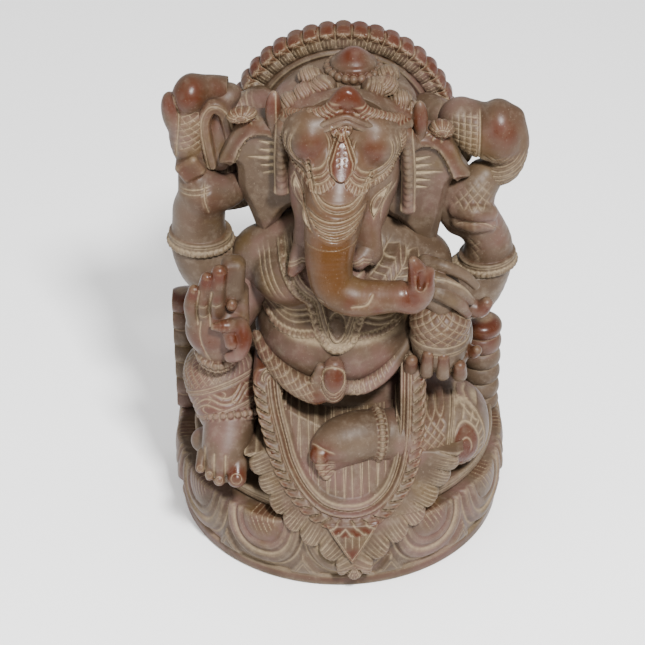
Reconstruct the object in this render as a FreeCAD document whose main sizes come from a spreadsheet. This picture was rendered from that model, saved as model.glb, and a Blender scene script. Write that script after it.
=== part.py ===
"""Seated four-armed elephant-headed idol on a lotus base, carved in soft stone, as separate solids.

Frame: millimetres, +Z up, the figure faces -Y, its right hand is at -X. The origin is the centre of
the underside. Heights of the figure's forms are above the seat, so the base can change under them.
"""
import FreeCAD
import Part
import math
import os
import Sketcher

OUT = "parts"
os.makedirs(OUT, exist_ok=True)
V = FreeCAD.Vector
Z_AXIS = V(0, 0, 1)

# ---------------------------------------------------------------- driving dimensions
BASE = {
    "plan_radius": 64.0,  # half width of the plinth, and the radius of its rounded front
    "plan_centre_y": 22.0,  # centre of the rounded front
    "plan_back_y": 45.0,  # flat back of the whole carving
    "plinth_height": 5.0,
    "lotus_height": 25.0,
    "lotus_flare": 2.0,  # how far the lotus stands out past the plinth at its top
    "lotus_waist": 1.0,  # how far its foot stands in
    "seat_height": 6.0,
    "seat_inset": 5.0,
}
SLAB = {
    "backrest_width": 96.0,
    "backrest_front_y": 27.0,
    "backrest_height": 88.0,
    "backrest_shoulder": 14.0,
    "halo_centre_height": 121.0,
    "halo_radius": 42.5,
    "halo_field_radius": 35.0,
    "halo_back_y": 45.0,
    "halo_thickness": 7.0,
    "rim_thickness": 9.0,
    "scallop_radius": 4.4,
    "scallop_count": 34.0,
    "scarf_front_y": 23.0,
    "scarf_thickness": 13.0,
}
POSTS = {
    "right_bolster": {"x": -59.5, "y": 36.0, "radius": 6.5, "neck": 5.7, "rib": 8.0, "ribs": 7.0},
    "left_bolster": {"x": 57.5, "y": 34.5, "radius": 8.0, "neck": 7.2, "rib": 7.4, "ribs": 6.0},
}
# rounded masses: centre x, y, height above the seat, then radii along x, y, z
BALLS = {
    "belly": (-2.0, 6.0, 56.0, 31.5, 31.0, 27.0),
    "chest": (-1.5, 9.0, 79.0, 36.0, 19.0, 19.0),
    "hips": (-1.0, 8.0, 22.0, 33.0, 23.0, 24.0),
    "skull": (0.5, 4.0, 126.0, 20.5, 20.0, 26.0),
    "muzzle": (-1.0, -2.0, 108.0, 14.5, 15.0, 17.0),
    "hair_locks": (0.5, 19.0, 149.0, 27.0, 15.0, 13.0),
    "topknot": (3.0, 20.0, 161.0, 8.8, 8.8, 4.8),
    "right_palm": (-44.5, -16.0, 69.0, 12.5, 5.8, 15.0),
    "bowl_dome": (36.0, -13.0, 67.0, 11.5, 11.5, 9.5),
    "goad_bulb": (-55.5, 16.0, 147.5, 8.0, 7.5, 9.0),
    "conch_bulb": (56.5, 15.0, 131.0, 9.0, 10.0, 16.0),
    "left_palm": (37.0, -11.5, 50.0, 10.0, 8.5, 7.0),
    "right_knee_cap": (-47.5, -6.2, 37.5, 14.0, 14.6, 14.4),
    "left_knee_cap": (47.0, -7.5, 15.3, 12.5, 15.4, 15.5),
    "right_sole": (-44.6, -23.8, 6.5, 8.4, 11.4, 7.2),
    "jewel_drop": (-0.8, -15.6, 139.0, 4.2, 2.6, 8.0),
}
# limbs: round sections through these points, each x, y, height above the seat, radius
LIMBS = {
    "trunk": [
        (-2.0, -10.0, 131.0, 11.0),
        (-3.0, -19.0, 122.0, 10.8),
        (-5.0, -25.5, 112.0, 9.2),
        (-4.8, -29.0, 103.0, 8.2),
        (-2.0, -31.0, 96.5, 7.6),
        (4.5, -32.5, 93.2, 7.0),
        (13.0, -34.0, 94.6, 6.0),
        (21.5, -35.0, 96.6, 5.0),
    ],
    "trunk_tip": [
        (24.0, -35.0, 92.5, 3.6),
        (26.5, -35.0, 95.0, 5.4),
        (27.4, -35.2, 100.0, 4.8),
        (26.4, -35.6, 105.5, 3.2),
        (25.8, -35.8, 109.0, 1.8),
    ],
    "right_tusk": [(-13.4, -8.0, 108.0, 5.0), (-14.6, -11.5, 101.5, 4.0), (-18.0, -15.5, 94.5, 2.4)],
    "left_tusk": [(9.2, -10.0, 109.0, 5.2), (8.2, -14.5, 103.0, 4.6), (5.2, -19.0, 98.4, 3.4)],
    "right_rear_arm": [
        (-27.0, 12.0, 83.0, 9.0),
        (-38.0, 13.0, 73.5, 11.5),
        (-48.5, 13.5, 73.0, 12.8),
        (-53.5, 14.0, 84.5, 11.2),
        (-53.8, 14.0, 97.0, 10.2),
        (-53.4, 14.0, 104.5, 9.2),
    ],
    "left_rear_arm": [
        (25.0, 12.0, 78.0, 9.0),
        (35.0, 12.5, 69.0, 10.5),
        (46.0, 13.0, 66.0, 12.6),
        (54.0, 14.0, 76.0, 10.2),
        (55.0, 14.0, 88.0, 9.0),
        (50.8, 13.0, 97.5, 7.4),
    ],
    "right_armlet": [(-53.6, 14.0, 86.0, 11.6), (-53.7, 14.0, 89.0, 12.2), (-53.8, 14.0, 92.0, 11.4)],
    "left_armlet": [(54.3, 14.0, 78.0, 10.7), (54.5, 14.0, 80.6, 11.4), (54.7, 14.0, 83.2, 10.4)],
    "right_rear_hand": [
        (-52.8, 13.0, 104.0, 9.4),
        (-52.0, 12.5, 110.0, 9.8),
        (-54.0, 14.0, 118.0, 6.6),
        (-55.5, 14.5, 124.0, 5.6),
    ],
    "left_rear_hand": [
        (49.5, 13.0, 97.0, 7.8),
        (47.6, 12.5, 103.0, 9.6),
        (48.5, 14.0, 109.0, 9.2),
        (52.0, 15.0, 114.0, 7.4),
    ],
    "goad": [
        (-56.0, 14.5, 122.0, 5.6),
        (-57.5, 15.0, 129.0, 8.2),
        (-56.2, 15.5, 139.0, 9.4),
        (-56.0, 16.0, 148.0, 8.2),
    ],
    "goad_hook": [
        (-46.6, 15.0, 126.0, 3.0),
        (-47.6, 14.0, 134.0, 3.2),
        (-45.0, 13.6, 140.6, 3.4),
        (-41.2, 14.6, 136.0, 3.4),
        (-39.4, 16.6, 127.0, 3.4),
        (-36.8, 18.6, 120.0, 3.2),
    ],
    "conch_neck": [(43.5, 20.0, 136.0, 8.5), (50.0, 17.0, 134.0, 10.5), (56.0, 15.0, 132.0, 9.0)],
    "right_front_arm": [
        (-30.0, 8.0, 76.0, 9.0),
        (-38.5, 5.0, 66.0, 9.6),
        (-44.5, -2.0, 57.5, 9.2),
        (-46.0, -9.0, 54.0, 7.8),
    ],
    "left_front_arm": [
        (27.0, 8.0, 74.0, 9.0),
        (36.0, 5.0, 63.0, 9.4),
        (40.5, -2.0, 55.5, 8.8),
        (39.5, -9.0, 52.5, 7.6),
    ],
    "right_thigh": [
        (-20.0, 8.0, 17.0, 16.0),
        (-36.0, 0.0, 30.0, 14.8),
        (-46.5, -5.0, 36.5, 13.4),
    ],
    "right_shin": [
        (-48.6, -6.5, 37.0, 13.2),
        (-47.0, -11.0, 29.0, 12.6),
        (-44.6, -14.8, 21.5, 11.2),
    ],
    "left_thigh": [
        (10.0, 7.0, 16.0, 15.0),
        (27.0, 3.0, 16.0, 16.2),
        (44.0, -3.0, 15.4, 15.6),
    ],
    "left_shin": [
        (44.0, -12.0, 15.4, 15.0),
        (28.0, -20.0, 17.6, 13.2),
        (13.5, -25.0, 21.4, 9.8),
    ],
    "right_foot": [
        (-44.0, -15.2, 21.0, 9.2),
        (-44.2, -22.4, 17.0, 10.0),
        (-44.2, -28.8, 13.4, 8.6),
        (-43.6, -32.6, 11.0, 5.8),
    ],
    "left_foot": [
        (14.0, -25.5, 22.2, 8.6),
        (6.0, -28.5, 23.6, 10.0),
        (-1.5, -31.0, 23.2, 9.4),
        (-7.4, -32.5, 21.4, 6.6),
    ],
    "belt_serpent": [
        (-30.5, -6.0, 49.5, 3.0),
        (-25.0, -16.0, 46.5, 4.0),
        (-15.0, -24.0, 45.5, 5.4),
        (-6.0, -28.0, 48.5, 6.8),
        (1.0, -28.4, 50.5, 5.6),
        (10.0, -25.6, 47.6, 4.0),
        (20.0, -17.0, 47.8, 3.4),
        (26.8, -4.0, 49.5, 3.0),
    ],
    "serpent_head": [(-3.8, -25.0, 54.5, 4.0), (-3.8, -30.5, 57.0, 5.0), (-4.2, -32.0, 51.0, 4.6)],
    "necklace": [
        (-21.5, -9.0, 90.0, 1.7),
        (-18.0, -14.5, 81.5, 1.9),
        (-12.0, -19.5, 73.0, 2.1),
        (-6.0, -23.2, 66.5, 2.3),
        (1.0, -23.6, 66.0, 2.3),
        (7.5, -20.6, 71.5, 2.1),
        (15.0, -14.5, 80.5, 1.9),
        (19.5, -9.0, 88.0, 1.7),
    ],
    "diadem": [
        (-20.4, 5.0, 144.0, 2.6),
        (-14.5, -2.5, 147.6, 3.0),
        (-5.5, -2.0, 151.2, 3.2),
        (1.0, 0.0, 153.4, 3.8),
        (7.0, -2.0, 151.2, 3.2),
        (15.5, -2.5, 147.6, 3.0),
        (21.4, 5.0, 144.0, 2.6),
    ],
    "lap_band": [
        (-26.8, -15.0, 38.0, 3.6),
        (-27.6, -24.5, 30.0, 3.8),
        (-26.4, -33.0, 18.0, 4.0),
        (-20.0, -38.6, 6.0, 4.0),
        (-9.0, -40.7, -3.4, 4.0),
        (1.0, -40.9, -6.0, 4.0),
        (11.0, -40.7, -4.0, 4.0),
        (20.5, -39.6, 3.0, 4.0),
        (26.0, -36.6, 15.0, 4.0),
        (26.8, -32.0, 30.0, 4.0),
        (26.4, -24.0, 44.0, 3.8),
        (25.4, -12.0, 56.0, 3.4),
    ],
}
# fingers and toes: tapered pegs with round ends, root x, y, height, tip x, y, height, root and tip radius
PEGS = {
    "right_front_hand": [
        (-52.6, -17.6, 78.0, -51.0, -19.0, 90.5, 3.3, 2.3),
        (-48.4, -18.0, 80.0, -47.6, -19.6, 95.0, 3.4, 2.4),
        (-43.6, -18.0, 80.5, -43.4, -19.6, 98.5, 3.5, 2.6),
        (-38.8, -17.4, 79.0, -39.6, -18.6, 97.0, 3.5, 2.7),
        (-36.4, -18.0, 67.0, -41.5, -23.0, 72.5, 3.8, 2.8),
        (-37.0, -19.0, 69.0, -37.6, -23.5, 63.5, 3.6, 2.6),
    ],
    "left_front_hand": [
        (28.4, -15.5, 46.5, 28.2, -21.6, 55.0, 3.2, 2.6),
        (33.4, -17.0, 45.0, 33.4, -23.2, 56.5, 3.2, 2.7),
        (38.0, -17.0, 44.5, 38.2, -23.2, 56.0, 3.3, 2.8),
        (43.0, -16.0, 44.5, 43.4, -21.8, 52.5, 3.3, 2.8),
        (44.0, -10.0, 48.5, 48.0, -15.0, 52.5, 3.0, 2.4),
    ],
    "left_arm_folds": [
        (34.0, -6.0, 81.0, 46.5, -12.0, 70.5, 3.6, 2.6),
        (33.0, -8.0, 86.0, 46.0, -10.0, 78.5, 3.6, 2.4),
        (30.0, -4.0, 88.0, 44.0, -4.0, 84.0, 3.8, 2.6),
    ],
    "right_toes": [
        (-52.0, -27.0, 13.0, -53.0, -31.5, 9.4, 2.4, 1.9),
        (-48.8, -29.5, 12.4, -49.4, -34.0, 8.6, 2.6, 2.0),
        (-45.4, -31.0, 12.0, -45.6, -35.4, 8.0, 2.8, 2.2),
        (-41.4, -31.0, 12.4, -40.8, -35.6, 8.2, 3.6, 3.0),
    ],
    "left_toes": [
        (-8.6, -33.0, 24.6, -10.4, -35.6, 23.8, 3.4, 3.0),
        (-9.0, -33.4, 20.4, -10.4, -36.2, 19.8, 2.4, 2.0),
        (-8.8, -33.4, 17.0, -10.0, -36.2, 16.4, 2.2, 1.9),
        (-8.4, -33.2, 14.0, -9.2, -35.8, 13.4, 2.0, 1.7),
    ],
}
# rings around limbs: centre x, y, height, ring radius, section radius, axis tilt about y and about x
RINGS = {
    "right_anklet": (-44.4, -15.2, 21.0, 10.2, 2.2, -17.0, -25.0),
    "left_anklet": (14.0, -24.9, 21.3, 8.7, 2.4, 105.0, -15.0),
    "right_bracelet": (-45.6, -13.0, 54.2, 7.2, 1.8, 0.0, 26.0),
}
# flat fans of the ears: outline in the frontal plane, x and height above the seat
EARS = {
    "right_ear": {"y": 9.0, "thickness": 8.0, "outline": [
        (-19.0, 133.0), (-26.0, 138.5), (-34.5, 139.0), (-42.0, 131.5), (-39.6, 121.0),
        (-35.0, 109.0), (-30.5, 97.0), (-24.0, 101.0), (-17.0, 112.0)]},
    "left_ear": {"y": 9.0, "thickness": 8.0, "outline": [
        (20.0, 131.0), (26.0, 135.5), (34.0, 135.0), (44.5, 120.5), (38.6, 112.0),
        (35.5, 101.0), (33.4, 88.0), (27.0, 94.5), (18.0, 107.0)]},
}
TASSELS = {
    "right_tassel": {"x": -22.2, "y": 0.6, "top": 141.4, "length": 29.0, "width": 5.0, "depth": 5.0},
    "left_tassel": {"x": 22.8, "y": 0.6, "top": 137.6, "length": 33.0, "width": 5.6, "depth": 5.0},
    "right_ear_tag": {"x": -26.6, "y": 3.4, "top": 154.6, "length": 14.0, "width": 5.4, "depth": 5.0},
    "left_ear_tag": {"x": 28.2, "y": 6.4, "top": 152.0, "length": 14.5, "width": 5.4, "depth": 5.0},
}
APRON = {
    # side profile of the lap cloth, y and height above the seat, from the lap to the foot of the lotus
    "profile": [(-12.0, 43.0), (-22.0, 41.0), (-26.0, 28.0), (-30.0, 18.0), (-38.5, 8.0),
                (-42.5, -2.0), (-44.0, -14.0), (-46.2, -28.0), (-43.0, -29.0), (-38.0, -2.0),
                (-12.0, 6.0)],
    "panel_width": 50.0,
    "frill_width": 84.0,
    "frill_drop": 28.0,
    "cloth_thickness": 3.5,
}


# ---------------------------------------------------------------- the document and its sheet
doc = FreeCAD.newDocument("Idol")
sheet = doc.addObject("Spreadsheet::Sheet", "sizes")
_row = [0]


def cell(alias, value):
    """One plain number in the sheet, and the expression that reads it."""
    _row[0] += 1
    place = "B%d" % _row[0]
    sheet.set("A%d" % _row[0], alias)
    sheet.set(place, repr(round(float(value), 4)))
    sheet.setAlias(place, alias)
    return "sizes.%s" % alias


for table in (BASE, SLAB):
    for alias, number in table.items():
        cell(alias, number)
SEAT_TOP = "(sizes.plinth_height + sizes.lotus_height + sizes.seat_height)"
seat_top = BASE["plinth_height"] + BASE["lotus_height"] + BASE["seat_height"]


def bind(thing, **formulas):
    """Ties properties of an object to formulas on the sheet. A double underscore stands for a dot."""
    for name, formula in formulas.items():
        thing.setExpression(name.replace("__", "."), formula)
    return thing


def stand(thing, x, y, height):
    """Places an object by three cells, its height counted from the seat."""
    return bind(thing, Placement__Base__x=x, Placement__Base__y=y,
                Placement__Base__z="%s + %s" % (SEAT_TOP, height))


def joined(name, things):
    if len(things) == 1:
        return things[0]
    whole = doc.addObject("Part::MultiFuse", name)
    whole.Shapes = things
    return whole


# ---------------------------------------------------------------- forms
def ball(name):
    """A rounded mass from the BALLS table."""
    keys = ("x", "y", "up", "rx", "ry", "rz")
    x, y, up, rx, ry, rz = [cell("%s_%s" % (name, k), n) for k, n in zip(keys, BALLS[name])]
    form = doc.addObject("Part::Ellipsoid", name)
    bind(form, Radius2=rx, Radius3=ry, Radius1=rz)
    form.Angle1, form.Angle2, form.Angle3 = -90, 90, 360
    return stand(form, x, y, up)


def limb(name):
    """A smooth solid through round sections, each square to the limb's own line.

    Between every two sections of the table stands one more, halfway along the smooth curve through
    the four sections around it.
    """
    rows = LIMBS[name]
    last = len(rows) - 1
    points = [V(*row[:3]) for row in rows]
    table = [[cell("%s_%d_%s" % (name, i, k), n) for k, n in zip(("x", "y", "up", "rad"), row)]
             for i, row in enumerate(rows)]
    rings = []
    turn = FreeCAD.Rotation(Z_AXIS, points[1] - points[0])
    for i in range(last + 1):
        turn = untwisted(turn, points[min(i + 1, last)] - points[max(i - 1, 0)])
        rings.append(section("%s_ring_%d" % (name, i), turn, table[i]))
        if i == last:
            break
        around = (table[max(i - 1, 0)], table[i], table[i + 1], table[min(i + 2, last)])
        halfway = ["(9 * (%s + %s) - %s - %s) / 16" % (b, c, a, d) for a, b, c, d in zip(*around)]
        outer = points[min(i + 2, last)] - points[max(i - 1, 0)]
        turn = untwisted(turn, (points[i + 1] - points[i]) * 11 - outer)
        rings.append(section("%s_between_%d" % (name, i), turn, halfway))
    form = doc.addObject("Part::Loft", name)
    form.Sections, form.Solid, form.Ruled = rings, True, False
    return form


def untwisted(turn, along):
    """The turn that faces along the direction with the least twist from the turn before it."""
    return FreeCAD.Rotation(turn.multVec(V(1, 0, 0)), V(), along, "ZXY")


def section(name, turn, formulas):
    """A round section facing as the turn does, its place and radius given by formulas."""
    circle = doc.addObject("Part::Circle", name)
    circle.Placement.Rotation = turn
    x, y, up, radius = formulas
    bind(circle, Radius=radius)
    return stand(circle, x, y, up)


def peg(name, row):
    """A tapered finger or toe with a round tip."""
    start, end, r_root, r_tip = V(*row[:3]), V(*row[3:6]), row[6], row[7]
    turn = FreeCAD.Rotation(Z_AXIS, end - start)
    root = [cell("%s_%s" % (name, k), n) for k, n in zip(("x", "y", "up"), row[:3])]
    tip = [cell("%s_tip_%s" % (name, k), n) for k, n in zip(("x", "y", "up"), row[3:6])]
    rad = [cell("%s_%s" % (name, k), n) for k, n in zip(("root_rad", "tip_rad"), (r_root, r_tip))]
    shaft = doc.addObject("Part::Cone", name + "_shaft")
    shaft.Placement.Rotation = turn
    gap = ["(%s - %s)^2" % (a, b) for a, b in zip(tip, root)]
    bind(shaft, Radius1=rad[0], Radius2=rad[1], Height="sqrt(%s) * 1mm" % " + ".join(gap))
    stand(shaft, *root)
    nail = doc.addObject("Part::Sphere", name + "_tip")
    bind(nail, Radius=rad[1])
    return [shaft, stand(nail, *tip)]


def pegs(name):
    made = []
    for i, row in enumerate(PEGS[name]):
        made += peg("%s_%d" % (name, i), row)
    return made


def ring(name):
    """A band round a limb."""
    keys = ("x", "y", "up", "ring_rad", "section_rad", "lean_y", "lean_x")
    x, y, up, big, small, lean_y, lean_x = [
        cell("%s_%s" % (name, k), n) for k, n in zip(keys, RINGS[name])]
    band = doc.addObject("Part::Torus", name)
    turn = FreeCAD.Rotation(V(0, 1, 0), RINGS[name][5])
    band.Placement.Rotation = turn.multiply(FreeCAD.Rotation(V(1, 0, 0), RINGS[name][6]))
    bind(band, Radius1=big, Radius2=small)
    return stand(band, x, y, up)


def strip(name):
    """A hanging bead strip or tag: a filleted bar."""
    row = TASSELS[name]
    cells = {k: cell("%s_%s" % (name, k), n) for k, n in row.items()}
    bar = doc.addObject("Part::Box", name + "_bar")
    bind(bar, Length=cells["width"], Width=cells["depth"], Height=cells["length"])
    stand(bar, "%s - %s / 2" % (cells["x"], cells["width"]),
          "%s - %s / 2" % (cells["y"], cells["depth"]), "%s - %s" % (cells["top"], cells["length"]))
    doc.recompute()
    soft = doc.addObject("Part::Fillet", name)
    soft.Base = bar
    rounding = 0.35 * row["width"]
    soft.Edges = [(i + 1, rounding, rounding) for i in range(len(bar.Shape.Edges))]
    return soft


# ---------------------------------------------------------------- bodies with sketches
def plane_of(body, role):
    return [f for f in body.Origin.OriginFeatures if f.Role == role][0]


def sketch_on(body, name, role):
    drawing = body.newObject("Sketcher::SketchObject", name)
    drawing.AttachmentSupport = [(plane_of(body, role), "")]
    drawing.MapMode = "FlatFace"
    return drawing


def closed_outline(drawing, points):
    """Straight lines through the points, closed, each corner joined and fixed."""
    count = len(points)
    for i, (a, b) in enumerate(points):
        c, d = points[(i + 1) % count]
        drawing.addGeometry(Part.LineSegment(V(a, b, 0), V(c, d, 0)), False)
    for i in range(count):
        drawing.addConstraint(Sketcher.Constraint("Coincident", i, 2, (i + 1) % count, 1))
        drawing.addConstraint(Sketcher.Constraint("Block", i))
    return drawing


def plan(drawing, radius, back):
    """The plan of the base: a half circle in front, straight sides, a flat back."""
    centre = V(0, BASE["plan_centre_y"], 0)
    arc = Part.ArcOfCircle(Part.Circle(centre, Z_AXIS, radius), math.pi, 2 * math.pi)
    drawing.addGeometry(arc, False)
    corners = [V(radius, centre.y, 0), V(radius, back, 0), V(-radius, back, 0), V(-radius, centre.y, 0)]
    for a, b in zip(corners[:-1], corners[1:]):
        drawing.addGeometry(Part.LineSegment(a, b), False)
    for first, second in ((1, 2), (2, 3)):
        drawing.addConstraint(Sketcher.Constraint("Coincident", first, 2, second, 1))
    drawing.addConstraint(Sketcher.Constraint("Tangent", 0, 2, 1, 1))
    drawing.addConstraint(Sketcher.Constraint("Tangent", 3, 2, 0, 1))
    for side, way in ((1, "Vertical"), (2, "Horizontal"), (3, "Vertical")):
        drawing.addConstraint(Sketcher.Constraint(way, side))
    drawing.addConstraint(Sketcher.Constraint("PointOnObject", 0, 3, -2))
    size = drawing.addConstraint(Sketcher.Constraint("Radius", 0, radius))
    rise = drawing.addConstraint(Sketcher.Constraint("DistanceY", -1, 1, 0, 3, centre.y))
    depth = drawing.addConstraint(Sketcher.Constraint("DistanceY", -1, 1, 1, 2, back))
    drawing.setExpression("Constraints[%d]" % rise, "sizes.plan_centre_y")
    drawing.setExpression("Constraints[%d]" % depth, "sizes.plan_back_y")
    return size


def plan_slab(name, inset, bottom, height):
    """A slab of the base's plan, its edge standing in from the plinth by a formula."""
    body = doc.addObject("PartDesign::Body", name)
    drawing = sketch_on(body, name + "_plan", "XY_Plane")
    size = plan(drawing, BASE["plan_radius"], BASE["plan_back_y"])
    drawing.setExpression("Constraints[%d]" % size, "sizes.plan_radius - %s" % inset)
    slab = body.newObject("PartDesign::Pad", name + "_slab")
    slab.Profile = drawing
    bind(slab, Length=height)
    bind(body, Placement__Base__z=bottom)
    return body


def lotus():
    """The lotus block, flaring upwards between two plans."""
    body = doc.addObject("PartDesign::Body", "lotus_pedestal")
    foot = sketch_on(body, "lotus_foot", "XY_Plane")
    brow = sketch_on(body, "lotus_brow", "XY_Plane")
    for drawing, growth in ((foot, "-sizes.lotus_waist"), (brow, "sizes.lotus_flare")):
        size = plan(drawing, BASE["plan_radius"], BASE["plan_back_y"])
        drawing.setExpression("Constraints[%d]" % size, "sizes.plan_radius + %s" % growth)
    bind(brow, AttachmentOffset__Base__z="sizes.lotus_height")
    block = body.newObject("PartDesign::AdditiveLoft", "lotus_block")
    block.Profile, block.Sections, block.Ruled = foot, [brow], True
    bind(body, Placement__Base__z="sizes.plinth_height")
    return body


def backrest():
    """The slab behind the figure, with sloping shoulders."""
    half, tall = SLAB["backrest_width"] / 2, SLAB["backrest_height"]
    slope = SLAB["backrest_shoulder"]
    body = doc.addObject("PartDesign::Body", "backrest")
    drawing = sketch_on(body, "backrest_outline", "XZ_Plane")
    closed_outline(drawing, [(-half, 0), (half, 0), (half, tall / 2 - slope), (half - 2.2 * slope, tall),
                             (2.2 * slope - half, tall), (-half, tall / 2 - slope)])
    slab = body.newObject("PartDesign::Pad", "backrest_slab")
    slab.Profile = drawing
    slab.Reversed = True
    bind(slab, Length="sizes.plan_back_y - sizes.backrest_front_y")
    bind(body, Placement__Base__z=SEAT_TOP, Placement__Base__y="sizes.backrest_front_y")
    return body


def halo_body(name, thickness):
    """An empty body whose frontal plane lies at the halo's front face, level with its centre."""
    body = doc.addObject("PartDesign::Body", name)
    bind(body, Placement__Base__y="sizes.halo_back_y - " + thickness,
         Placement__Base__z=SEAT_TOP + " + sizes.halo_centre_height")
    return body


def ring_pad(body, name, radii, thickness):
    drawing = sketch_on(body, name + "_outline", "XZ_Plane")
    for i, alias in enumerate(radii):
        circle = Part.Circle(V(0, 0, 0), Z_AXIS, SLAB[alias])
        drawing.addGeometry(circle, False)
        drawing.addConstraint(Sketcher.Constraint("Coincident", i, 3, -1, 1))
        size = drawing.addConstraint(Sketcher.Constraint("Radius", i, SLAB[alias]))
        drawing.setExpression("Constraints[%d]" % size, "sizes." + alias)
    pad = body.newObject("PartDesign::Pad", name + "_pad")
    pad.Profile, pad.Reversed = drawing, True
    bind(pad, Length=thickness)
    return pad


def halo():
    """The plain field of the halo, and its fluted rim with a scalloped edge."""
    field = halo_body("halo_disc", "sizes.halo_thickness")
    ring_pad(field, "halo_field", ["halo_field_radius"], "sizes.halo_thickness")
    rim = halo_body("halo_rim", "sizes.rim_thickness")
    ring_pad(rim, "rim_band", ["halo_radius", "halo_field_radius"], "sizes.rim_thickness")
    bite = sketch_on(rim, "scallop", "XZ_Plane")
    reach = SLAB["halo_radius"] + 0.6 * SLAB["scallop_radius"]
    half_pitch = math.pi / SLAB["scallop_count"]
    centre = V(reach * math.sin(half_pitch), reach * math.cos(half_pitch), 0)
    bite.addGeometry(Part.Circle(centre, Z_AXIS, 0.72 * SLAB["scallop_radius"]), False)
    bite.addConstraint(Sketcher.Constraint("Block", 0))
    cut = rim.newObject("PartDesign::Pocket", "scallop_cut")
    cut.Profile, cut.Type, cut.Midplane = bite, "ThroughAll", True
    doc.recompute()
    round_it = rim.newObject("PartDesign::PolarPattern", "scallops")
    round_it.Originals = [cut]
    round_it.Axis = (plane_of(rim, "Y_Axis"), [""])
    round_it.Angle = 360
    bind(round_it, Occurrences="sizes.scallop_count")
    rim.Tip = round_it
    return field, rim


def bolster(name):
    """A round ribbed post at the side of the throne: one bulge per rib, turned about its own axis."""
    row = POSTS[name]
    for alias, number in row.items():
        cell("%s_%s" % (name, alias), number)
    body = doc.addObject("PartDesign::Body", name)
    drawing = sketch_on(body, name + "_profile", "XZ_Plane")
    edge, neck, rib, count = row["radius"], row["neck"], row["rib"], int(row["ribs"])
    top = count * rib
    drawing.addGeometry(Part.LineSegment(V(0, 0, 0), V(neck, 0, 0)), False)
    for i in range(count):
        low, high = V(neck, i * rib, 0), V(neck, (i + 1) * rib, 0)
        drawing.addGeometry(Part.Arc(low, V(edge, (i + 0.5) * rib, 0), high), False)
    drawing.addGeometry(Part.LineSegment(V(neck, top, 0), V(0, top, 0)), False)
    drawing.addGeometry(Part.LineSegment(V(0, top, 0), V(0, 0, 0)), False)
    for i in range(count + 3):
        drawing.addConstraint(Sketcher.Constraint("Coincident", i, 2, (i + 1) % (count + 3), 1))
        drawing.addConstraint(Sketcher.Constraint("Block", i))
    turned = body.newObject("PartDesign::Revolution", name + "_turned")
    turned.Profile = drawing
    turned.ReferenceAxis = (drawing, ["V_Axis"])
    turned.Angle = 360
    bind(body, Placement__Base__x="sizes.%s_x" % name, Placement__Base__y="sizes.%s_y" % name,
         Placement__Base__z="sizes.plinth_height + sizes.lotus_height")
    return body


def fan(name):
    """An ear: its outline padded to the ear's thickness."""
    row = EARS[name]
    front = cell(name + "_y", row["y"])
    thick = cell(name + "_thickness", row["thickness"])
    body = doc.addObject("PartDesign::Body", name)
    drawing = sketch_on(body, name + "_outline", "XZ_Plane")
    closed_outline(drawing, row["outline"])
    pad = body.newObject("PartDesign::Pad", name + "_pad")
    pad.Profile, pad.Reversed = drawing, True
    bind(pad, Length=thick)
    bind(body, Placement__Base__y="%s - %s / 2" % (front, thick), Placement__Base__z=SEAT_TOP)
    return body


def scarf_fold(name, outline):
    """The web of scarf that ties a raised hand to the halo."""
    body = doc.addObject("PartDesign::Body", name)
    closed_outline(sketch_on(body, name + "_outline", "XZ_Plane"), outline)
    pad = body.newObject("PartDesign::Pad", name + "_pad")
    pad.Profile, pad.Reversed = doc.getObject(name + "_outline"), True
    bind(pad, Length="sizes.scarf_thickness")
    bind(body, Placement__Base__y="sizes.scarf_front_y", Placement__Base__z=SEAT_TOP)
    return body


def cloth(name, outline, extra):
    """Cloth over the lap: a side profile run across, cut to an outline seen from the front."""
    across = doc.addObject("PartDesign::Body", name + "_run")
    profile = [(y - extra if y < -30 else y, up) for y, up in APRON["profile"]]
    closed_outline(sketch_on(across, name + "_side", "YZ_Plane"), profile)
    run = across.newObject("PartDesign::Pad", name + "_run_pad")
    run.Profile, run.Midplane = doc.getObject(name + "_side"), True
    bind(run, Length="sizes.plan_radius * 2")
    shape = doc.addObject("PartDesign::Body", name + "_shape")
    closed_outline(sketch_on(shape, name + "_front", "XZ_Plane"), outline)
    through = shape.newObject("PartDesign::Pad", name + "_through")
    through.Profile, through.Midplane = doc.getObject(name + "_front"), True
    bind(through, Length="sizes.plan_radius * 4")
    for body in (across, shape):
        bind(body, Placement__Base__z=SEAT_TOP)
    both = doc.addObject("Part::Common", name)
    both.Base, both.Tool = across, shape
    return both


def half_oval(half_width, drop, top):
    """Front outline of a hanging cloth: straight sides and an oval hem."""
    hem = [(half_width * math.cos(a), -drop * math.sin(a))
           for a in [math.pi * k / 12.0 for k in range(13)]]
    return [(half_width, top)] + hem[0:] + [(-half_width, top)]


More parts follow.
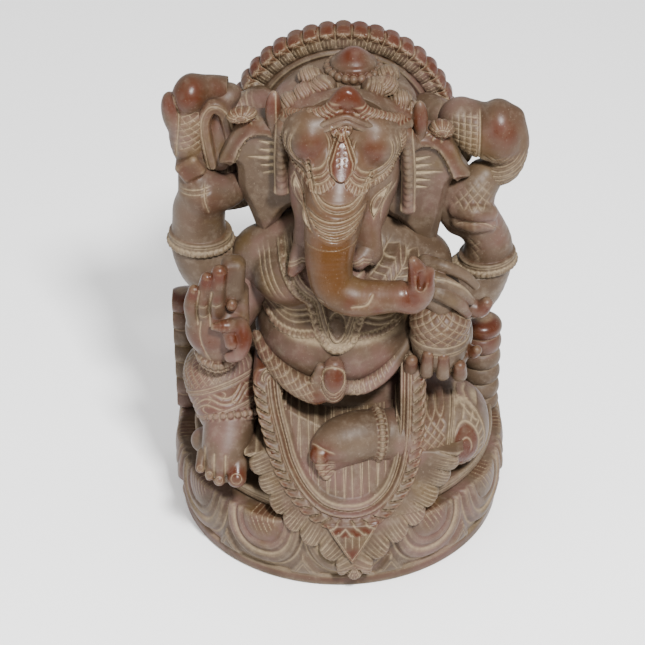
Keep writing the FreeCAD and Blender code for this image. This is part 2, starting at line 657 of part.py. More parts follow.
# ---------------------------------------------------------------- the assembly
def forms():
    """Every sub-part before it is fitted to its neighbours, by node name."""
    made = {
        "base_plinth": plan_slab("base_plinth", "0", "0mm", "sizes.plinth_height"),
        "lotus_pedestal": lotus(),
        "seat_cushion": plan_slab("seat_cushion", "sizes.seat_inset",
                                  "sizes.plinth_height + sizes.lotus_height", "sizes.seat_height"),
        "backrest": backrest(),
    }
    made["halo_disc"], made["halo_rim"] = halo()
    for name in POSTS:
        made[name] = bolster(name)
    made["right_scarf_fold"] = scarf_fold("right_scarf_fold", [
        (-46.5, 118.0), (-46.5, 137.0), (-38.0, 147.0), (-33.0, 144.0), (-32.0, 98.0), (-40.0, 101.0)])
    made["left_scarf_fold"] = scarf_fold("left_scarf_fold", [
        (45.0, 122.0), (45.0, 142.0), (34.0, 147.0), (31.0, 140.0), (31.0, 106.0), (38.0, 112.0)])
    made["torso"] = joined("torso_mass", [ball("belly"), ball("chest"), ball("hips")])
    made["head"] = joined("head_mass", [ball("skull"), ball("muzzle")])
    made["trunk"] = joined("trunk_mass", [limb("trunk"), limb("trunk_tip")])
    made["goad"] = joined("goad_mass", [limb("goad"), ball("goad_bulb")])
    made["conch"] = joined("conch_mass", [limb("conch_neck"), ball("conch_bulb")])
    made["left_leg"] = joined("left_leg_mass", [limb("left_thigh"), limb("left_shin"), ball("left_knee_cap")])
    made["right_leg"] = joined("right_leg_mass", [
        limb("right_thigh"), limb("right_shin"), ball("right_knee_cap")])
    made["right_foot"] = joined("right_foot_mass", [limb("right_foot"), ball("right_sole")] + pegs("right_toes"))
    made["left_foot"] = joined("left_foot_mass", [limb("left_foot")] + pegs("left_toes"))
    made["belt_serpent"] = joined("belt_mass", [limb("belt_serpent"), limb("serpent_head")])
    made["right_front_hand"] = joined("right_palm_mass", [ball("right_palm")] + pegs("right_front_hand"))
    made["left_front_hand"] = joined("left_hand_mass", [ball("left_palm")] + pegs("left_front_hand"))
    made["left_arm_folds"] = joined("left_folds_mass", pegs("left_arm_folds"))
    for name in ("hair_locks", "topknot", "jewel_drop"):
        made[name] = ball(name)
    made["sweets_bowl"] = ball("bowl_dome")
    for name in ("right_tusk", "left_tusk", "right_rear_arm", "left_rear_arm", "right_rear_hand",
                 "left_rear_hand", "goad_hook", "right_front_arm", "left_front_arm",
                 "necklace", "diadem", "lap_band", "right_armlet", "left_armlet"):
        made[name] = limb(name)
    for name in RINGS:
        made[name] = ring(name)
    for name in EARS:
        made[name] = fan(name)
    for name in TASSELS:
        made[name] = strip(name)
    made["lap_cloth"] = cloth("lap_panel", half_oval(APRON["panel_width"] / 2, 5.5, 44.0), 0.0)
    frill = half_oval(APRON["frill_width"] / 2, APRON["frill_drop"], 2.0)
    made["cloth_frill"] = cloth("frill_panel", frill, -1.2)
    return made


# a form gives way to the forms named after it, and to those that they have already given way to
YIELDS = {
    "halo_disc": ["backrest"],
    "halo_rim": ["backrest"],
    "right_bolster": ["backrest", "seat_cushion"],
    "left_bolster": ["backrest", "seat_cushion"],
    "torso": ["backrest", "seat_cushion"],
    "head": ["torso", "halo_disc"],
    "right_leg": ["seat_cushion", "torso", "backrest"],
    "left_leg": ["seat_cushion", "torso", "backrest", "right_leg"],
    "trunk": ["head", "torso"],
    "right_tusk": ["head", "trunk"],
    "left_tusk": ["head", "trunk"],
    "hair_locks": ["head", "halo_disc", "halo_rim"],
    "topknot": ["head", "halo_disc", "hair_locks", "halo_rim"],
    "right_scarf_fold": ["halo_disc", "halo_rim", "hair_locks", "backrest"],
    "left_scarf_fold": ["halo_disc", "halo_rim", "hair_locks", "backrest"],
    "right_ear": ["head", "halo_disc", "halo_rim", "torso", "hair_locks", "right_scarf_fold"],
    "left_ear": ["head", "halo_disc", "halo_rim", "torso", "hair_locks", "left_scarf_fold"],
    "right_rear_arm": ["torso", "backrest", "halo_rim", "right_ear", "right_scarf_fold"],
    "left_rear_arm": ["torso", "backrest", "halo_rim", "left_ear", "left_scarf_fold"],
    "right_rear_hand": ["right_rear_arm", "right_scarf_fold", "right_ear"],
    "left_rear_hand": ["left_rear_arm", "left_scarf_fold", "left_ear"],
    "goad": ["right_rear_hand", "right_scarf_fold"],
    "goad_hook": ["right_rear_hand", "goad", "right_scarf_fold", "right_ear"],
    "conch": ["left_rear_hand", "left_scarf_fold", "left_ear", "halo_rim"],
    "right_front_arm": ["torso", "backrest", "right_rear_arm", "right_leg"],
    "left_front_arm": ["torso", "backrest", "left_rear_arm", "left_leg"],
    "right_foot": ["right_leg", "seat_cushion", "lotus_pedestal"],
    "left_foot": ["left_leg", "seat_cushion", "torso"],
    "right_bracelet": ["right_front_arm", "right_leg"],
    "right_front_hand": ["right_front_arm", "right_leg", "right_bracelet", "torso", "right_rear_arm"],
    "sweets_bowl": ["torso", "left_front_arm", "left_leg"],
    "left_front_hand": ["left_front_arm", "sweets_bowl", "left_leg", "torso"],
    "left_arm_folds": ["torso", "left_rear_arm", "left_front_arm", "sweets_bowl", "trunk"],
    "belt_serpent": ["torso", "left_leg", "right_leg"],
    "necklace": ["torso", "head", "trunk"],
    "jewel_drop": ["head", "trunk"],
    "diadem": ["head", "hair_locks", "jewel_drop"],
    "right_armlet": ["right_rear_arm"],
    "left_armlet": ["left_rear_arm"],
    "right_anklet": ["right_leg", "right_foot"],
    "right_tassel": ["head", "right_ear", "hair_locks", "diadem"],
    "left_tassel": ["head", "left_ear", "hair_locks", "diadem"],
    "right_ear_tag": ["head", "right_ear", "hair_locks", "right_tassel", "halo_disc", "diadem",
                      "right_scarf_fold"],
    "left_ear_tag": ["head", "left_ear", "hair_locks", "left_tassel", "halo_disc", "diadem",
                     "left_scarf_fold"],
    "lap_cloth": ["torso", "seat_cushion", "lotus_pedestal", "left_foot", "left_leg", "right_leg",
                  "right_foot", "base_plinth"],
    "left_anklet": ["left_leg", "left_foot", "lap_cloth"],
    "lap_band": ["torso", "left_leg", "right_leg", "left_foot", "right_foot", "lap_cloth",
                 "seat_cushion", "lotus_pedestal", "left_front_hand", "sweets_bowl",
                 "left_anklet", "right_anklet", "belt_serpent"],
    "cloth_frill": ["lap_cloth", "seat_cushion", "lotus_pedestal", "base_plinth", "right_foot",
                    "left_leg", "left_foot", "lap_band", "right_leg", "right_anklet"],
}


def fit(made):
    """Cuts each form back to the neighbours it yields to, so that pieces meet face to face."""
    fitted = {name: form for name, form in made.items() if name not in YIELDS}
    for name, neighbours in YIELDS.items():
        piece = made[name]
        for other in neighbours:
            doc.recompute()
            if not piece.Shape.BoundBox.intersect(fitted[other].Shape.BoundBox):
                continue
            if piece.Shape.distToShape(fitted[other].Shape)[0] > 0.01:
                continue
            cut = doc.addObject("Part::Cut", "%s_less_%s" % (name, other))
            cut.Base, cut.Tool = piece, fitted[other]
            piece = cut
        fitted[name] = piece
    doc.recompute()
    return fitted


def main():
    fitted = fit(forms())
    for thing in doc.Objects:
        if "Invalid" in thing.State or "Error" in thing.State:
            raise RuntimeError("%s did not recompute: %s" % (thing.Name, thing.State))
    for name, piece in fitted.items():
        if piece.Shape.isNull() or not piece.Shape.isValid() or not piece.Shape.Solids:
            raise RuntimeError("%s has no valid solid" % name)
        piece.Label = name
        piece.Shape.exportStep(os.path.join(OUT, name + ".step"))
        print("%-18s %d solid(s) %8.1f mm3" % (name, len(piece.Shape.Solids), piece.Shape.Volume))


main()
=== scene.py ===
"""A seated elephant-headed idol carved in soft stone, on a lotus base, standing on a pale floor.

Each carved form is a field of distances: rounded masses blended together, then engraved. The field is
turned into a mesh, and the mesh is coloured by how hollow or how proud the stone is at each point.
Lengths are in millimetres from the middle of the underside until a mesh is made.
"""
import bpy
import math
from concurrent.futures import ThreadPoolExecutor
import numpy as np
import openvdb
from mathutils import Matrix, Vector


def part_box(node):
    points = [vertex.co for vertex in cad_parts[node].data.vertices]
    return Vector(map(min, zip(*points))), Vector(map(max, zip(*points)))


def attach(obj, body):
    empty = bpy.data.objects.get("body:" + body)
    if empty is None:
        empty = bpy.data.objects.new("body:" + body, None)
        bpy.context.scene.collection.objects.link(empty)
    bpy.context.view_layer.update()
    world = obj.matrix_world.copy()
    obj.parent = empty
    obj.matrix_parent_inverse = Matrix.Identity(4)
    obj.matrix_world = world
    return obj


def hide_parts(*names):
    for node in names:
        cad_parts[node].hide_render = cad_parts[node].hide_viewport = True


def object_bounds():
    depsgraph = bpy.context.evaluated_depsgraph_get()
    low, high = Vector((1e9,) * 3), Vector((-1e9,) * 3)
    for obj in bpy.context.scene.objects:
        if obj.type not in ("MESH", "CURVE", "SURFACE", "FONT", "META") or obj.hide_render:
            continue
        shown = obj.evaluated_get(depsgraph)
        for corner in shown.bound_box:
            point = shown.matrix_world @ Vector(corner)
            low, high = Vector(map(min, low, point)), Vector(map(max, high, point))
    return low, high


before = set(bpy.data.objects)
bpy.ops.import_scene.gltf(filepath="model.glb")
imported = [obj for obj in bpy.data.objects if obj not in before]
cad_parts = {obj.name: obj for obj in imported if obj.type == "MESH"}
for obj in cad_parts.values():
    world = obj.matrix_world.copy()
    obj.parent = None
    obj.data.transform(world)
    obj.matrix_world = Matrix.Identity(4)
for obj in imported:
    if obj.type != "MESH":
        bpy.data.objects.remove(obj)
first_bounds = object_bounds()
LOW, HIGH = [np.array(corner) * 1000 for corner in first_bounds]
ORIGIN = np.array([(LOW[0] + HIGH[0]) / 2, (LOW[1] + HIGH[1]) / 2, LOW[2]])
FINE = 0.30


def span(node):
    """Lowest and highest corner of a CAD node, in millimetres from the middle of the underside."""
    low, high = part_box(node)
    return np.array(low) * 1000 - ORIGIN, np.array(high) * 1000 - ORIGIN


PLINTH = span("base_plinth")
LOTUS = span("lotus_pedestal")
SEAT = span("seat_cushion")
REST = span("backrest")
HALO = span("halo_rim")
FIELD = span("halo_disc")
POST_R = span("right_bolster")
POST_L = span("left_bolster")
BACK = LOTUS[1][1]
RADIUS = PLINTH[1][0]
CENTRE_Y = PLINTH[0][1] + RADIUS
HALO_R = HALO[1][0]
HALO_Z = HALO[1][2] - HALO_R


# ---------------------------------------------------------------- distances
def smin(a, b, k):
    """Union of two solids, blended over a width k."""
    if k <= 0:
        return np.minimum(a, b)
    h = np.maximum(k - np.abs(a - b), 0) / k
    return np.minimum(a, b) - h * h * k * 0.25


def smax(a, b, k=0.0):
    """Intersection of two solids, blended over a width k."""
    return -smin(-a, -b, k)


def step(low, high, t):
    """Smooth step from 0 at low to 1 at high; low may be the larger."""
    u = np.clip((t - low) / (high - low), 0, 1)
    return u * u * (3 - 2 * u)


def nearest(t, pitch):
    """Signed distance from t to the nearest multiple of pitch."""
    return t - np.round(t / pitch) * pitch


def curve(points, per=5):
    """Points of a smooth curve through the given ones (numbers after x, y, z are carried along)."""
    p = np.array(points, float)
    p = np.vstack([2 * p[0] - p[1], p, 2 * p[-1] - p[-2]])
    out = []
    for a, b, c, d in zip(p[:-3], p[1:-2], p[2:-1], p[3:]):
        for t in np.arange(per) / per:
            out.append(0.5 * (2 * b + (c - a) * t + (2 * a - 5 * b + 4 * c - d) * t * t
                              + (3 * b - a - 3 * c + d) * t ** 3))
    return np.array(out + [p[-2]])


def along(points, index):
    """How far along the smooth curve one of its given points lies."""
    p = curve(points)[:index * 5 + 1]
    return float(np.sqrt((np.diff(p, axis=0) ** 2).sum(1)).sum())


class Clay:
    """A form being carved, sampled at many points."""

    def __init__(self, x, y, z):
        self.x, self.y, self.z = x, y, z
        self.f = np.full_like(x, 60.0)
        self.dust = np.zeros_like(x)
        self.worn = np.zeros_like(x)
        self.amber = np.zeros_like(x)

    # masses
    def ball(self, centre, radii, k=0.0, lean=0.0):
        """An ellipsoid. lean turns it about the line of sight, in degrees."""
        x, y, z = self.x - centre[0], self.y - centre[1], self.z - centre[2]
        if lean:
            c, s = math.cos(math.radians(lean)), math.sin(math.radians(lean))
            x, z = c * x + s * z, c * z - s * x
        rx, ry, rz = (radii,) * 3 if np.isscalar(radii) else radii
        near = np.sqrt((x / rx) ** 2 + (y / ry) ** 2 + (z / rz) ** 2)
        slope = np.sqrt((x / rx ** 2) ** 2 + (y / ry ** 2) ** 2 + (z / rz ** 2) ** 2)
        d = near * (near - 1) / np.maximum(slope, 1e-6)
        self.f = smin(self.f, d, k)
        return d

    def limb(self, rows, k=0.0, per=4):
        """A tube of changing radius along a smooth curve. Rows are x, y, z, radius."""
        d = self.tube(rows, per)
        self.f = smin(self.f, d, k)
        return d

    def tube(self, rows, per=4):
        """Distance to a round tube; only points near it are worked out."""
        rows = curve(rows, per) if per > 1 else np.array(rows, float)
        reach = rows[:, 3].max() + 9
        low, high = rows[:, :3].min(0) - reach, rows[:, :3].max(0) + reach
        inside = ((self.x > low[0]) & (self.x < high[0]) & (self.y > low[1]) & (self.y < high[1])
                  & (self.z > low[2]) & (self.z < high[2]))
        out = np.full_like(self.x, 9.0)
        x, y, z = self.x[inside], self.y[inside], self.z[inside]
        best = np.full_like(x, 60.0)
        for a, b in zip(rows[:-1], rows[1:]):
            g = b[:3] - a[:3]
            t = np.clip(((x - a[0]) * g[0] + (y - a[1]) * g[1] + (z - a[2]) * g[2]) / (g @ g), 0, 1)
            d = np.sqrt((x - a[0] - t * g[0]) ** 2 + (y - a[1] - t * g[1]) ** 2
                        + (z - a[2] - t * g[2]) ** 2) - (a[3] + t * (b[3] - a[3]))
            best = np.minimum(best, d)
        out[inside] = best
        return out

    def block(self, centre, half, r, k=0.0, lean=0.0):
        """A box with rounded edges."""
        x, y, z = self.x - centre[0], self.y - centre[1], self.z - centre[2]
        if lean:
            c, s = math.cos(math.radians(lean)), math.sin(math.radians(lean))
            x, z = c * x + s * z, c * z - s * x
        q = [np.abs(v) - h + r for v, h in zip((x, y, z), half)]
        d = (np.sqrt(sum(np.maximum(v, 0) ** 2 for v in q))
             + np.minimum(np.maximum.reduce(q), 0) - r)
        self.f = smin(self.f, d, k)
        return d

    # engraving
    def line(self, points, reach=4.0, smooth=5, front=True):
        """Distance to a line, place along it, and the side, seen from the front or in space."""
        p = curve(points, smooth) if smooth > 1 else np.array(points, float)
        axes = (self.x, self.z) if front else (self.x, self.y, self.z)
        inside = np.ones(self.x.shape, bool)
        for v, column in zip(axes, p.T):
            inside &= (v > column.min() - reach) & (v < column.max() + reach)
        q = [v[inside] for v in axes]
        best = np.full(q[0].shape, reach, np.float32)
        place, side = np.zeros_like(best), np.ones_like(best)
        run = 0.0
        for a, b in zip(p[:-1], p[1:]):
            g = b - a
            length = math.sqrt(g @ g)
            t = np.clip(sum((v - n) * m for v, n, m in zip(q, a, g)) / (g @ g), 0, 1)
            off = [v - n - t * m for v, n, m in zip(q, a, g)]
            d = np.sqrt(sum(o * o for o in off))
            closer = d < best
            best = np.where(closer, d, best)
            place = np.where(closer, run + t * length, place)
            if front:
                side = np.where(closer, np.sign(g[0] * off[1] - g[1] * off[0]), side)
            run += length
        out = [np.full(self.x.shape, v, np.float32) for v in (reach, 0, 1)]
        for whole, part in zip(out, (best, place, side)):
            whole[inside] = part
        return out[0], out[1], out[2], run

    def groove(self, d, width=0.36, depth=0.42, where=None):
        """Cuts a line into the stone and leaves dust in it."""
        g = np.exp(-(d / width) ** 2)
        if where is not None:
            g = g * where
        self.f = self.f + depth * g
        self.dust = np.maximum(self.dust, 0.85 * g ** 1.6)

    def ridge(self, d, width=0.8, height=0.7, where=None):
        """Raises a rounded line."""
        g = np.exp(-(d / width) ** 2)
        if where is not None:
            g = g * where
        self.f = self.f - height * g

    def beads(self, points, r=1.0, pitch=None, height=None, where=None, front=True, reach=4.0):
        """A row of round beads in relief along a line."""
        pitch = pitch or 2.05 * r
        d, s, _, run = self.line(points, max(reach, r + 1), front=front)
        pitch = run / max(1, round(run / pitch))
        t = nearest(s - pitch / 2, pitch)
        u = np.sqrt(d * d + t * t) / r
        swell = (height or 0.8 * r) * np.sqrt(np.clip(1 - u * u, 0, 1))
        edge = np.exp(-((u - 1.05) / 0.25) ** 2)
        if where is not None:
            swell, edge = swell * where, edge * where
        self.f = self.f - swell + 0.12 * edge
        self.dust = np.maximum(self.dust, 0.8 * edge)
        self.worn = np.maximum(self.worn, 0.35 * swell)

    def string(self, points, r, pitch, k=0.4, smooth=5, flat=1.0):
        """A row of round beads standing along a line in space."""
        d, s, _, run = self.line(points, r + 3.5, smooth, front=False)
        n = run / max(1, round(run / pitch))
        t = nearest(s - n / 2, n) * flat
        self.f = smin(self.f, np.sqrt(d * d + t * t) - r, k)
        self.dust = np.maximum(self.dust,
                               0.6 * step(r + 0.9, r + 0.2, d) * step(0.32 * n, 0.5 * n, np.abs(t / flat)))
        self.worn = np.maximum(self.worn,
                               0.5 * step(r + 0.8, r, d) * step(0.3 * n, 0.1 * n, np.abs(t / flat)))
        return d

    def hatch(self, a, b, pitch, where, width=0.26, depth=0.3):
        """Crossed engraved lines."""
        before = self.dust
        for q in (a + b, a - b):
            self.groove(nearest(q, pitch) * 0.7071, width, depth, where)
        self.dust = np.maximum(before, 0.75 * self.dust)

    def rub(self, centre, radius, amount=1.0):
        """Where hands and cloths have worn the stone brown and glossy."""
        d2 = ((self.x - centre[0]) ** 2 + (self.y - centre[1]) ** 2 + (self.z - centre[2]) ** 2)
        self.worn = np.maximum(self.worn, amount * np.exp(-d2 / radius ** 2))


def hoop(centre, along, r, low=-2.4, high=2.4, count=15):
    """Points of an arc round a limb that runs along a direction, open at the back."""
    w = np.array(along, float)
    w /= np.linalg.norm(w)
    u = np.cross(w, (0, 1, 0.0))
    u /= np.linalg.norm(u)
    v = np.cross(w, u)
    v = -v if v[1] > 0 else v
    return [np.array(centre) + r * (math.sin(a) * u + math.cos(a) * v)
            for a in np.linspace(low, high, count)]


def polygon(c, points, k=0):
    """Signed distance to an outline seen from the front."""
    p = curve(list(points) + [points[0]], k)[:-1] if k else np.array(points, float)
    d2 = np.full_like(c.x, 1e9)
    odd = np.zeros(c.x.shape, bool)
    for (ax, az), (bx, bz) in zip(p, np.roll(p, -1, axis=0)):
        gx, gz = bx - ax, bz - az
        px, pz = c.x - ax, c.z - az
        t = np.clip((px * gx + pz * gz) / (gx * gx + gz * gz), 0, 1)
        d2 = np.minimum(d2, (px - gx * t) ** 2 + (pz - gz * t) ** 2)
        crosses = (az > c.z) != (bz > c.z)
        if abs(gz) > 1e-9:
            odd ^= crosses & (c.x < ax + gx * (c.z - az) / gz)
    return np.where(odd, -1, 1) * np.sqrt(d2)


def plan(c):
    """Distance outside the base's plan measured from its centre: a radius in front, a width behind."""
    y = c.y - CENTRE_Y
    return np.where(y < 0, np.hypot(c.x, y), np.abs(c.x))


def round_plan(c, d, k=7.0):
    """Cuts a plan off at the flat back."""
    return smax(d, c.y - BACK, k)


# ---------------------------------------------------------------- the base
def lotus(c):
    """The plinth and the ring of lotus petals."""
    top, foot = LOTUS[1][2], PLINTH[1][2]
    shift = 1.6
    x = c.x + shift
    q = np.where(c.y < CENTRE_Y, np.hypot(x, c.y - CENTRE_Y), np.abs(x))
    tall = top - foot
    rise = np.clip((c.z - foot) / tall, 0, 1)
    bulge = RADIUS - 2.6 + 3.6 * np.sqrt(np.clip(np.sin(np.pi * (0.08 + 0.84 * rise)), 0, 1))
    angle = np.arctan2(x, CENTRE_Y - c.y)
    s = np.where(c.y < CENTRE_Y, RADIUS * angle, np.sign(x) * (RADIUS * np.pi / 2 + c.y - CENTRE_Y)) - 3.0
    pitch = 33.5
    a = nearest(s, pitch) / 16.0
    b = (top + 1.5 - c.z) / (tall - 1.4)
    e = (np.abs(a) ** 2.3 + np.abs(b) ** 2.3) ** (1 / 2.3)
    relief = 1.9 * step(1.06, 0.94, e) - 1.0 * step(0.84, 0.77, e) + 0.9 * step(0.74, 0.66, e)
    relief += -0.8 * step(0.60, 0.54, e) + 1.4 * np.sqrt(np.clip(1 - (e / 0.54) ** 2, 0, 1))
    between = nearest(s - pitch / 2, pitch)
    leaf = np.abs(between) / 6.4 + (c.z - foot) / 11.5
    relief += 1.5 * step(1.1, 0.75, leaf) * step(1.0, 1.08, e)
    side = step(BACK - 1.0, BACK - 3.0, c.y)
    c.f = smax(round_plan(c, q - bulge - relief * side), np.abs(c.z - (foot + top) / 2) - tall / 2, 1.4)
    c.groove((e - 0.80) * 15, 0.5, 0.3, side * step(top, top - 2, c.z))
    c.groove((e - 1.07) * 15, 0.4, 0.3, side * step(top, top - 2, c.z))
    c.groove((leaf - 0.55) * 7,
             0.3, 0.3, side * step(1.02, 1.08, e) * step(1.0, 0.7, leaf) * step(foot, foot + 1, c.z))
    strokes = step(0.46, 0.3, e) * step(0.5, 0.3, b)
    c.groove(nearest(s + 0.5 * c.z, 2.3), 0.2, 0.22, strokes * side)
    slab = smax(round_plan(c, q - RADIUS - 0.4), np.abs(c.z - foot / 2) - foot / 2, 1.5)
    c.f = smin(c.f, slab, 0.5)
    c.dust = np.maximum(c.dust, 0.5 * np.exp(-((c.z - foot - 0.3) / 0.7) ** 2) * side)
    c.worn = np.maximum(c.worn, 0.35 * step(0.5, 0.2, e) + 0.45 * step(4.8, 3.6, c.z) * step(1.5, 2.5, c.z))
    c.f = np.where(c.y > BACK - 3, smax(c.f, c.y - BACK, 0.3), c.f)


def seat(c):
    """The plain rim that the figure sits on."""
    low, high = SEAT[0][2], SEAT[1][2]
    edge = SEAT[1][0] + 1.2
    c.f = smax(round_plan(c, plan(c) - edge + 0.02 * (high - c.z) ** 2), np.abs(c.z - (low + high) / 2)
               - (high - low) / 2, 2.0)
    front = step(BACK - 1, BACK - 4, c.y)
    c.groove(c.z - high + 2.6, 0.4, 0.5, front)


def backrest(c):
    """The sloping slab behind the figure, with shallow ornament on its back."""
    half, top, foot = REST[1][0], REST[1][2], REST[0][2]
    slope = (np.abs(c.x) - 17.2) * 0.883 + (c.z - top) * 0.469
    side = smax(smax(np.abs(c.x) - half, slope, 8.0), c.z - top, 3.0)
    c.f = smax(smax(side, REST[0][1] + 1.0 - c.y, 4.0), c.y - BACK, 2.0)
    c.f = smax(c.f, foot - 0.5 - c.z, 0)
    behind = step(BACK - 2, BACK - 0.5, c.y)
    c.groove(side + 4.0, 0.5, 0.5, behind)
    c.groove(side + 6.0, 0.4, 0.35, behind)
    bloom = np.hypot(c.x, c.z - foot - 34)
    turn = np.arctan2(c.x, c.z - foot - 34)
    petal = bloom - 15 - 3.6 * np.abs(np.cos(4 * turn))
    c.groove(petal, 0.5, 0.5, behind)
    c.groove(petal + 3.0, 0.4, 0.35, behind)
    c.groove(bloom - 5.0, 0.5, 0.5, behind)


def post(c, box, ribs):
    """A ribbed post of the throne, and the block that ties it to the back."""
    cx, cy = (box[0][0] + box[1][0]) / 2, (box[0][1] + box[1][1]) / 2
    cx = cx - 4.4 if cx < 0 else cx - 2.0
    edge, foot, top = (box[1][0] - box[0][0]) / 2, box[0][2], box[1][2]
    rib = (top - foot) / ribs
    wave = np.abs(np.sin(np.pi * (c.z - foot) / rib)) ** 0.5
    q = np.hypot(c.x - cx, c.y - cy)
    c.f = smax(q - edge + 1.9 * (1 - wave), np.abs(c.z - (foot + top) / 2) - (top - foot) / 2, 4.5)
    c.block((cx - 0.55 * cx / abs(cx) * edge, (cy + BACK) / 2, (foot + top) / 2 - 2),
            (edge * 0.9, (BACK - cy) / 2 + 2, (top - foot) / 2 - 2), 2.5, 2.0)
    c.dust = np.maximum(c.dust, 0.45 * step(0.5, 0.1, wave))
    c.rub((cx, cy - 4, top - 2), 8.5, 1.3)


def halo(c):
    """The disc behind the head, with its fluted and scalloped rim."""
    rho = np.hypot(c.x, c.z - HALO_Z)
    phi = np.arctan2(c.x, c.z - HALO_Z)
    pitch = 2 * math.pi / 42
    t = nearest(phi, pitch) / pitch * 2
    inner = FIELD[1][0] + 0.2
    crown = np.sqrt(np.clip(1 - 0.92 * t * t, 0, 1))
    outer = HALO_R + 1.2 - 2.3 * (1 - crown)
    front, back = HALO[0][1], HALO[1][1]
    out = np.clip((rho - inner) / (HALO_R - inner), 0, 1.2)
    swell = (0.75 * crown * step(0.0, 0.3, out)
             + 0.35 * np.clip(1 - np.abs(t) * 1.6, 0, 1) * step(0.9, 0.6, out))
    face = front + 1.4 - swell - 0.9 * step(0.55, 0.85, out) * crown + 3.0 * step(0.9, 1.15, out)
    rim = smax(smax(rho - outer, face - c.y, 1.4), c.y - back, 1.2)
    field = smax(rho - inner - 0.5, FIELD[0][1] - c.y, 0)
    c.f = smin(rim, smax(field, c.y - back, 0.6), 0)
    c.f = smax(c.f, -smax(rho - inner, c.y - FIELD[0][1], 0.8), 0.4)
    facing = step(back - 2, back - 4, c.y)
    c.groove((np.abs(t) - 1) * 2.9, 0.4, 0.8, facing * step(0.0, 0.15, out))
    for at in (0.0, 0.48):
        c.groove((np.abs(t) - at) * 2.9, 0.2, 0.28, facing * step(0.02, 0.15, out) * step(0.68, 0.5, out))
    c.groove((np.abs(t) * 0.55 + out - 0.92) * 5, 0.32, 0.45, facing * step(1.0, 0.8, np.abs(t)))
    c.ridge(rho - inner + 2.0, 0.9, 0.8, facing)
    c.ridge(rho - inner + 5.4, 0.9, 0.5, facing)
    handled = 0.75 + 0.25 * np.sin(9 * phi) ** 2
    c.worn = np.maximum(c.worn, step(0.62, 0.86, out + np.abs(t) * 0.25) * handled)
    behind = step(back - 2, back - 0.5, c.y)
    c.groove(rho - 34, 0.5, 0.5, behind)
    c.groove(rho - 12 - 9 * np.abs(np.cos(4 * phi)), 0.5, 0.5, behind)
    c.groove(rho - 9, 0.4, 0.4, behind)


def scarf(c, side):
    """Webs of scarf between a raised hand and the halo."""
    if side < 0:
        c.limb([(-44, 17, 174, 4.6), (-38, 22, 175, 6.0), (-31, 31, 172, 7.5)], 3)
        c.limb([(-42, 20, 163, 4.5), (-36, 28, 160, 8), (-30, 34, 156, 9)], 4)
        c.limb([(-45, 20, 150, 4.6), (-37, 25, 148, 5.5), (-32, 30, 146, 8)], 4)
        c.limb([(-47, 20, 137, 3.6), (-40, 22, 138, 4.6), (-33, 28, 140, 7)], 4)
        fan = c.line([(-40, 178), (-37, 165), (-38, 150), (-36, 138)], 8)[0]
    else:
        c.limb([(44, 20, 168, 5.5), (38, 24, 170, 6.5), (31, 32, 168, 8)], 3)
        c.limb([(43, 21, 158, 5.0), (37, 28, 156, 8), (30, 34, 153, 9)], 4)
        c.limb([(42, 22, 148, 3.6), (36, 26, 146, 5), (31, 31, 145, 8)], 4)
        fan = c.line([(41, 172), (38, 160), (39, 148)], 8)[0]
    c.groove(nearest(fan, 1.7), 0.24, 0.26, step(32, 26, c.y) * step(7.5, 6, fan))


# ---------------------------------------------------------------- the head
TRUNK = [(-2, -8, 168, 11.5), (-3, -17, 159, 11.0), (-4.6, -24.5, 149, 9.4), (-5, -28.6, 140, 8.3),
         (-3, -31, 132.8, 7.7), (4, -32.6, 129.4, 7.0), (13, -34, 130.4, 6.1), (20, -35, 131.6, 5.4)]
TRUNK_CUT = 150.0
DOMES = [(-1, -11.9, 179.8), (1, 10.4, 177.6)]


def face(c):
    """The head with its domes, jaw and trunk, before it is divided at the trunk."""
    c.ball((-0.2, 4, 162), (20.9, 20, 26))
    c.ball((-2.2, -3, 147), (13.8, 14, 18), 7)
    c.ball((-10.2, -4, 152), (6.6, 9, 11), 5)
    c.ball((8.0, -5, 150), (6.6, 9, 11), 5)
    c.limb([(-16, -1, 180, 6.0), (-7, -2.6, 183.4, 7.0), (1, -3.0, 185.0, 7.0), (9, -2.6, 182.4, 7.0),
            (17, -1, 178.4, 6.0)], 5)
    for _, x, z in DOMES:
        c.ball((x, -5.0, z), (9.6, 8.2, 10.6), 3.0)
        c.ball((x, -8.4, z - 0.3), (6.5, 5.6, 7.3), 0.8)
    c.limb(TRUNK, 3.5, 5)
    c.limb([(20, -35, 131.4, 5.2), (24.6, -35.2, 130.2, 5.2), (27.4, -35.4, 134.6, 5.0),
            (26.8, -35.8, 139.6, 4.2), (25.6, -36, 144.4, 2.9), (24.6, -36, 147.0, 1.9)], 1.6)
    c.limb([(26.4, -35.4, 134, 4.6), (29.4, -35.2, 139.4, 2.7), (30.2, -35, 141.6, 2.2)], 1.4)
    cup = c.tube([(27.2, -39.0, 138, 1.2), (28.0, -40.0, 142.5, 2.4)], 1)
    c.f = smax(c.f, -cup, 1.2)
    c.limb([(-11.6, -8, 150, 4.0), (-13.6, -10, 143, 4.4), (-13.8, -11, 137.6, 4.6)], 3)
    c.limb([(8.0, -10, 150, 4.0), (9.0, -12.5, 142, 4.6), (9.2, -13.6, 136.4, 5.2)], 3)
    c.ball((-1, -16, 128), (9, 7, 5), 3)
    engrave_face(c)


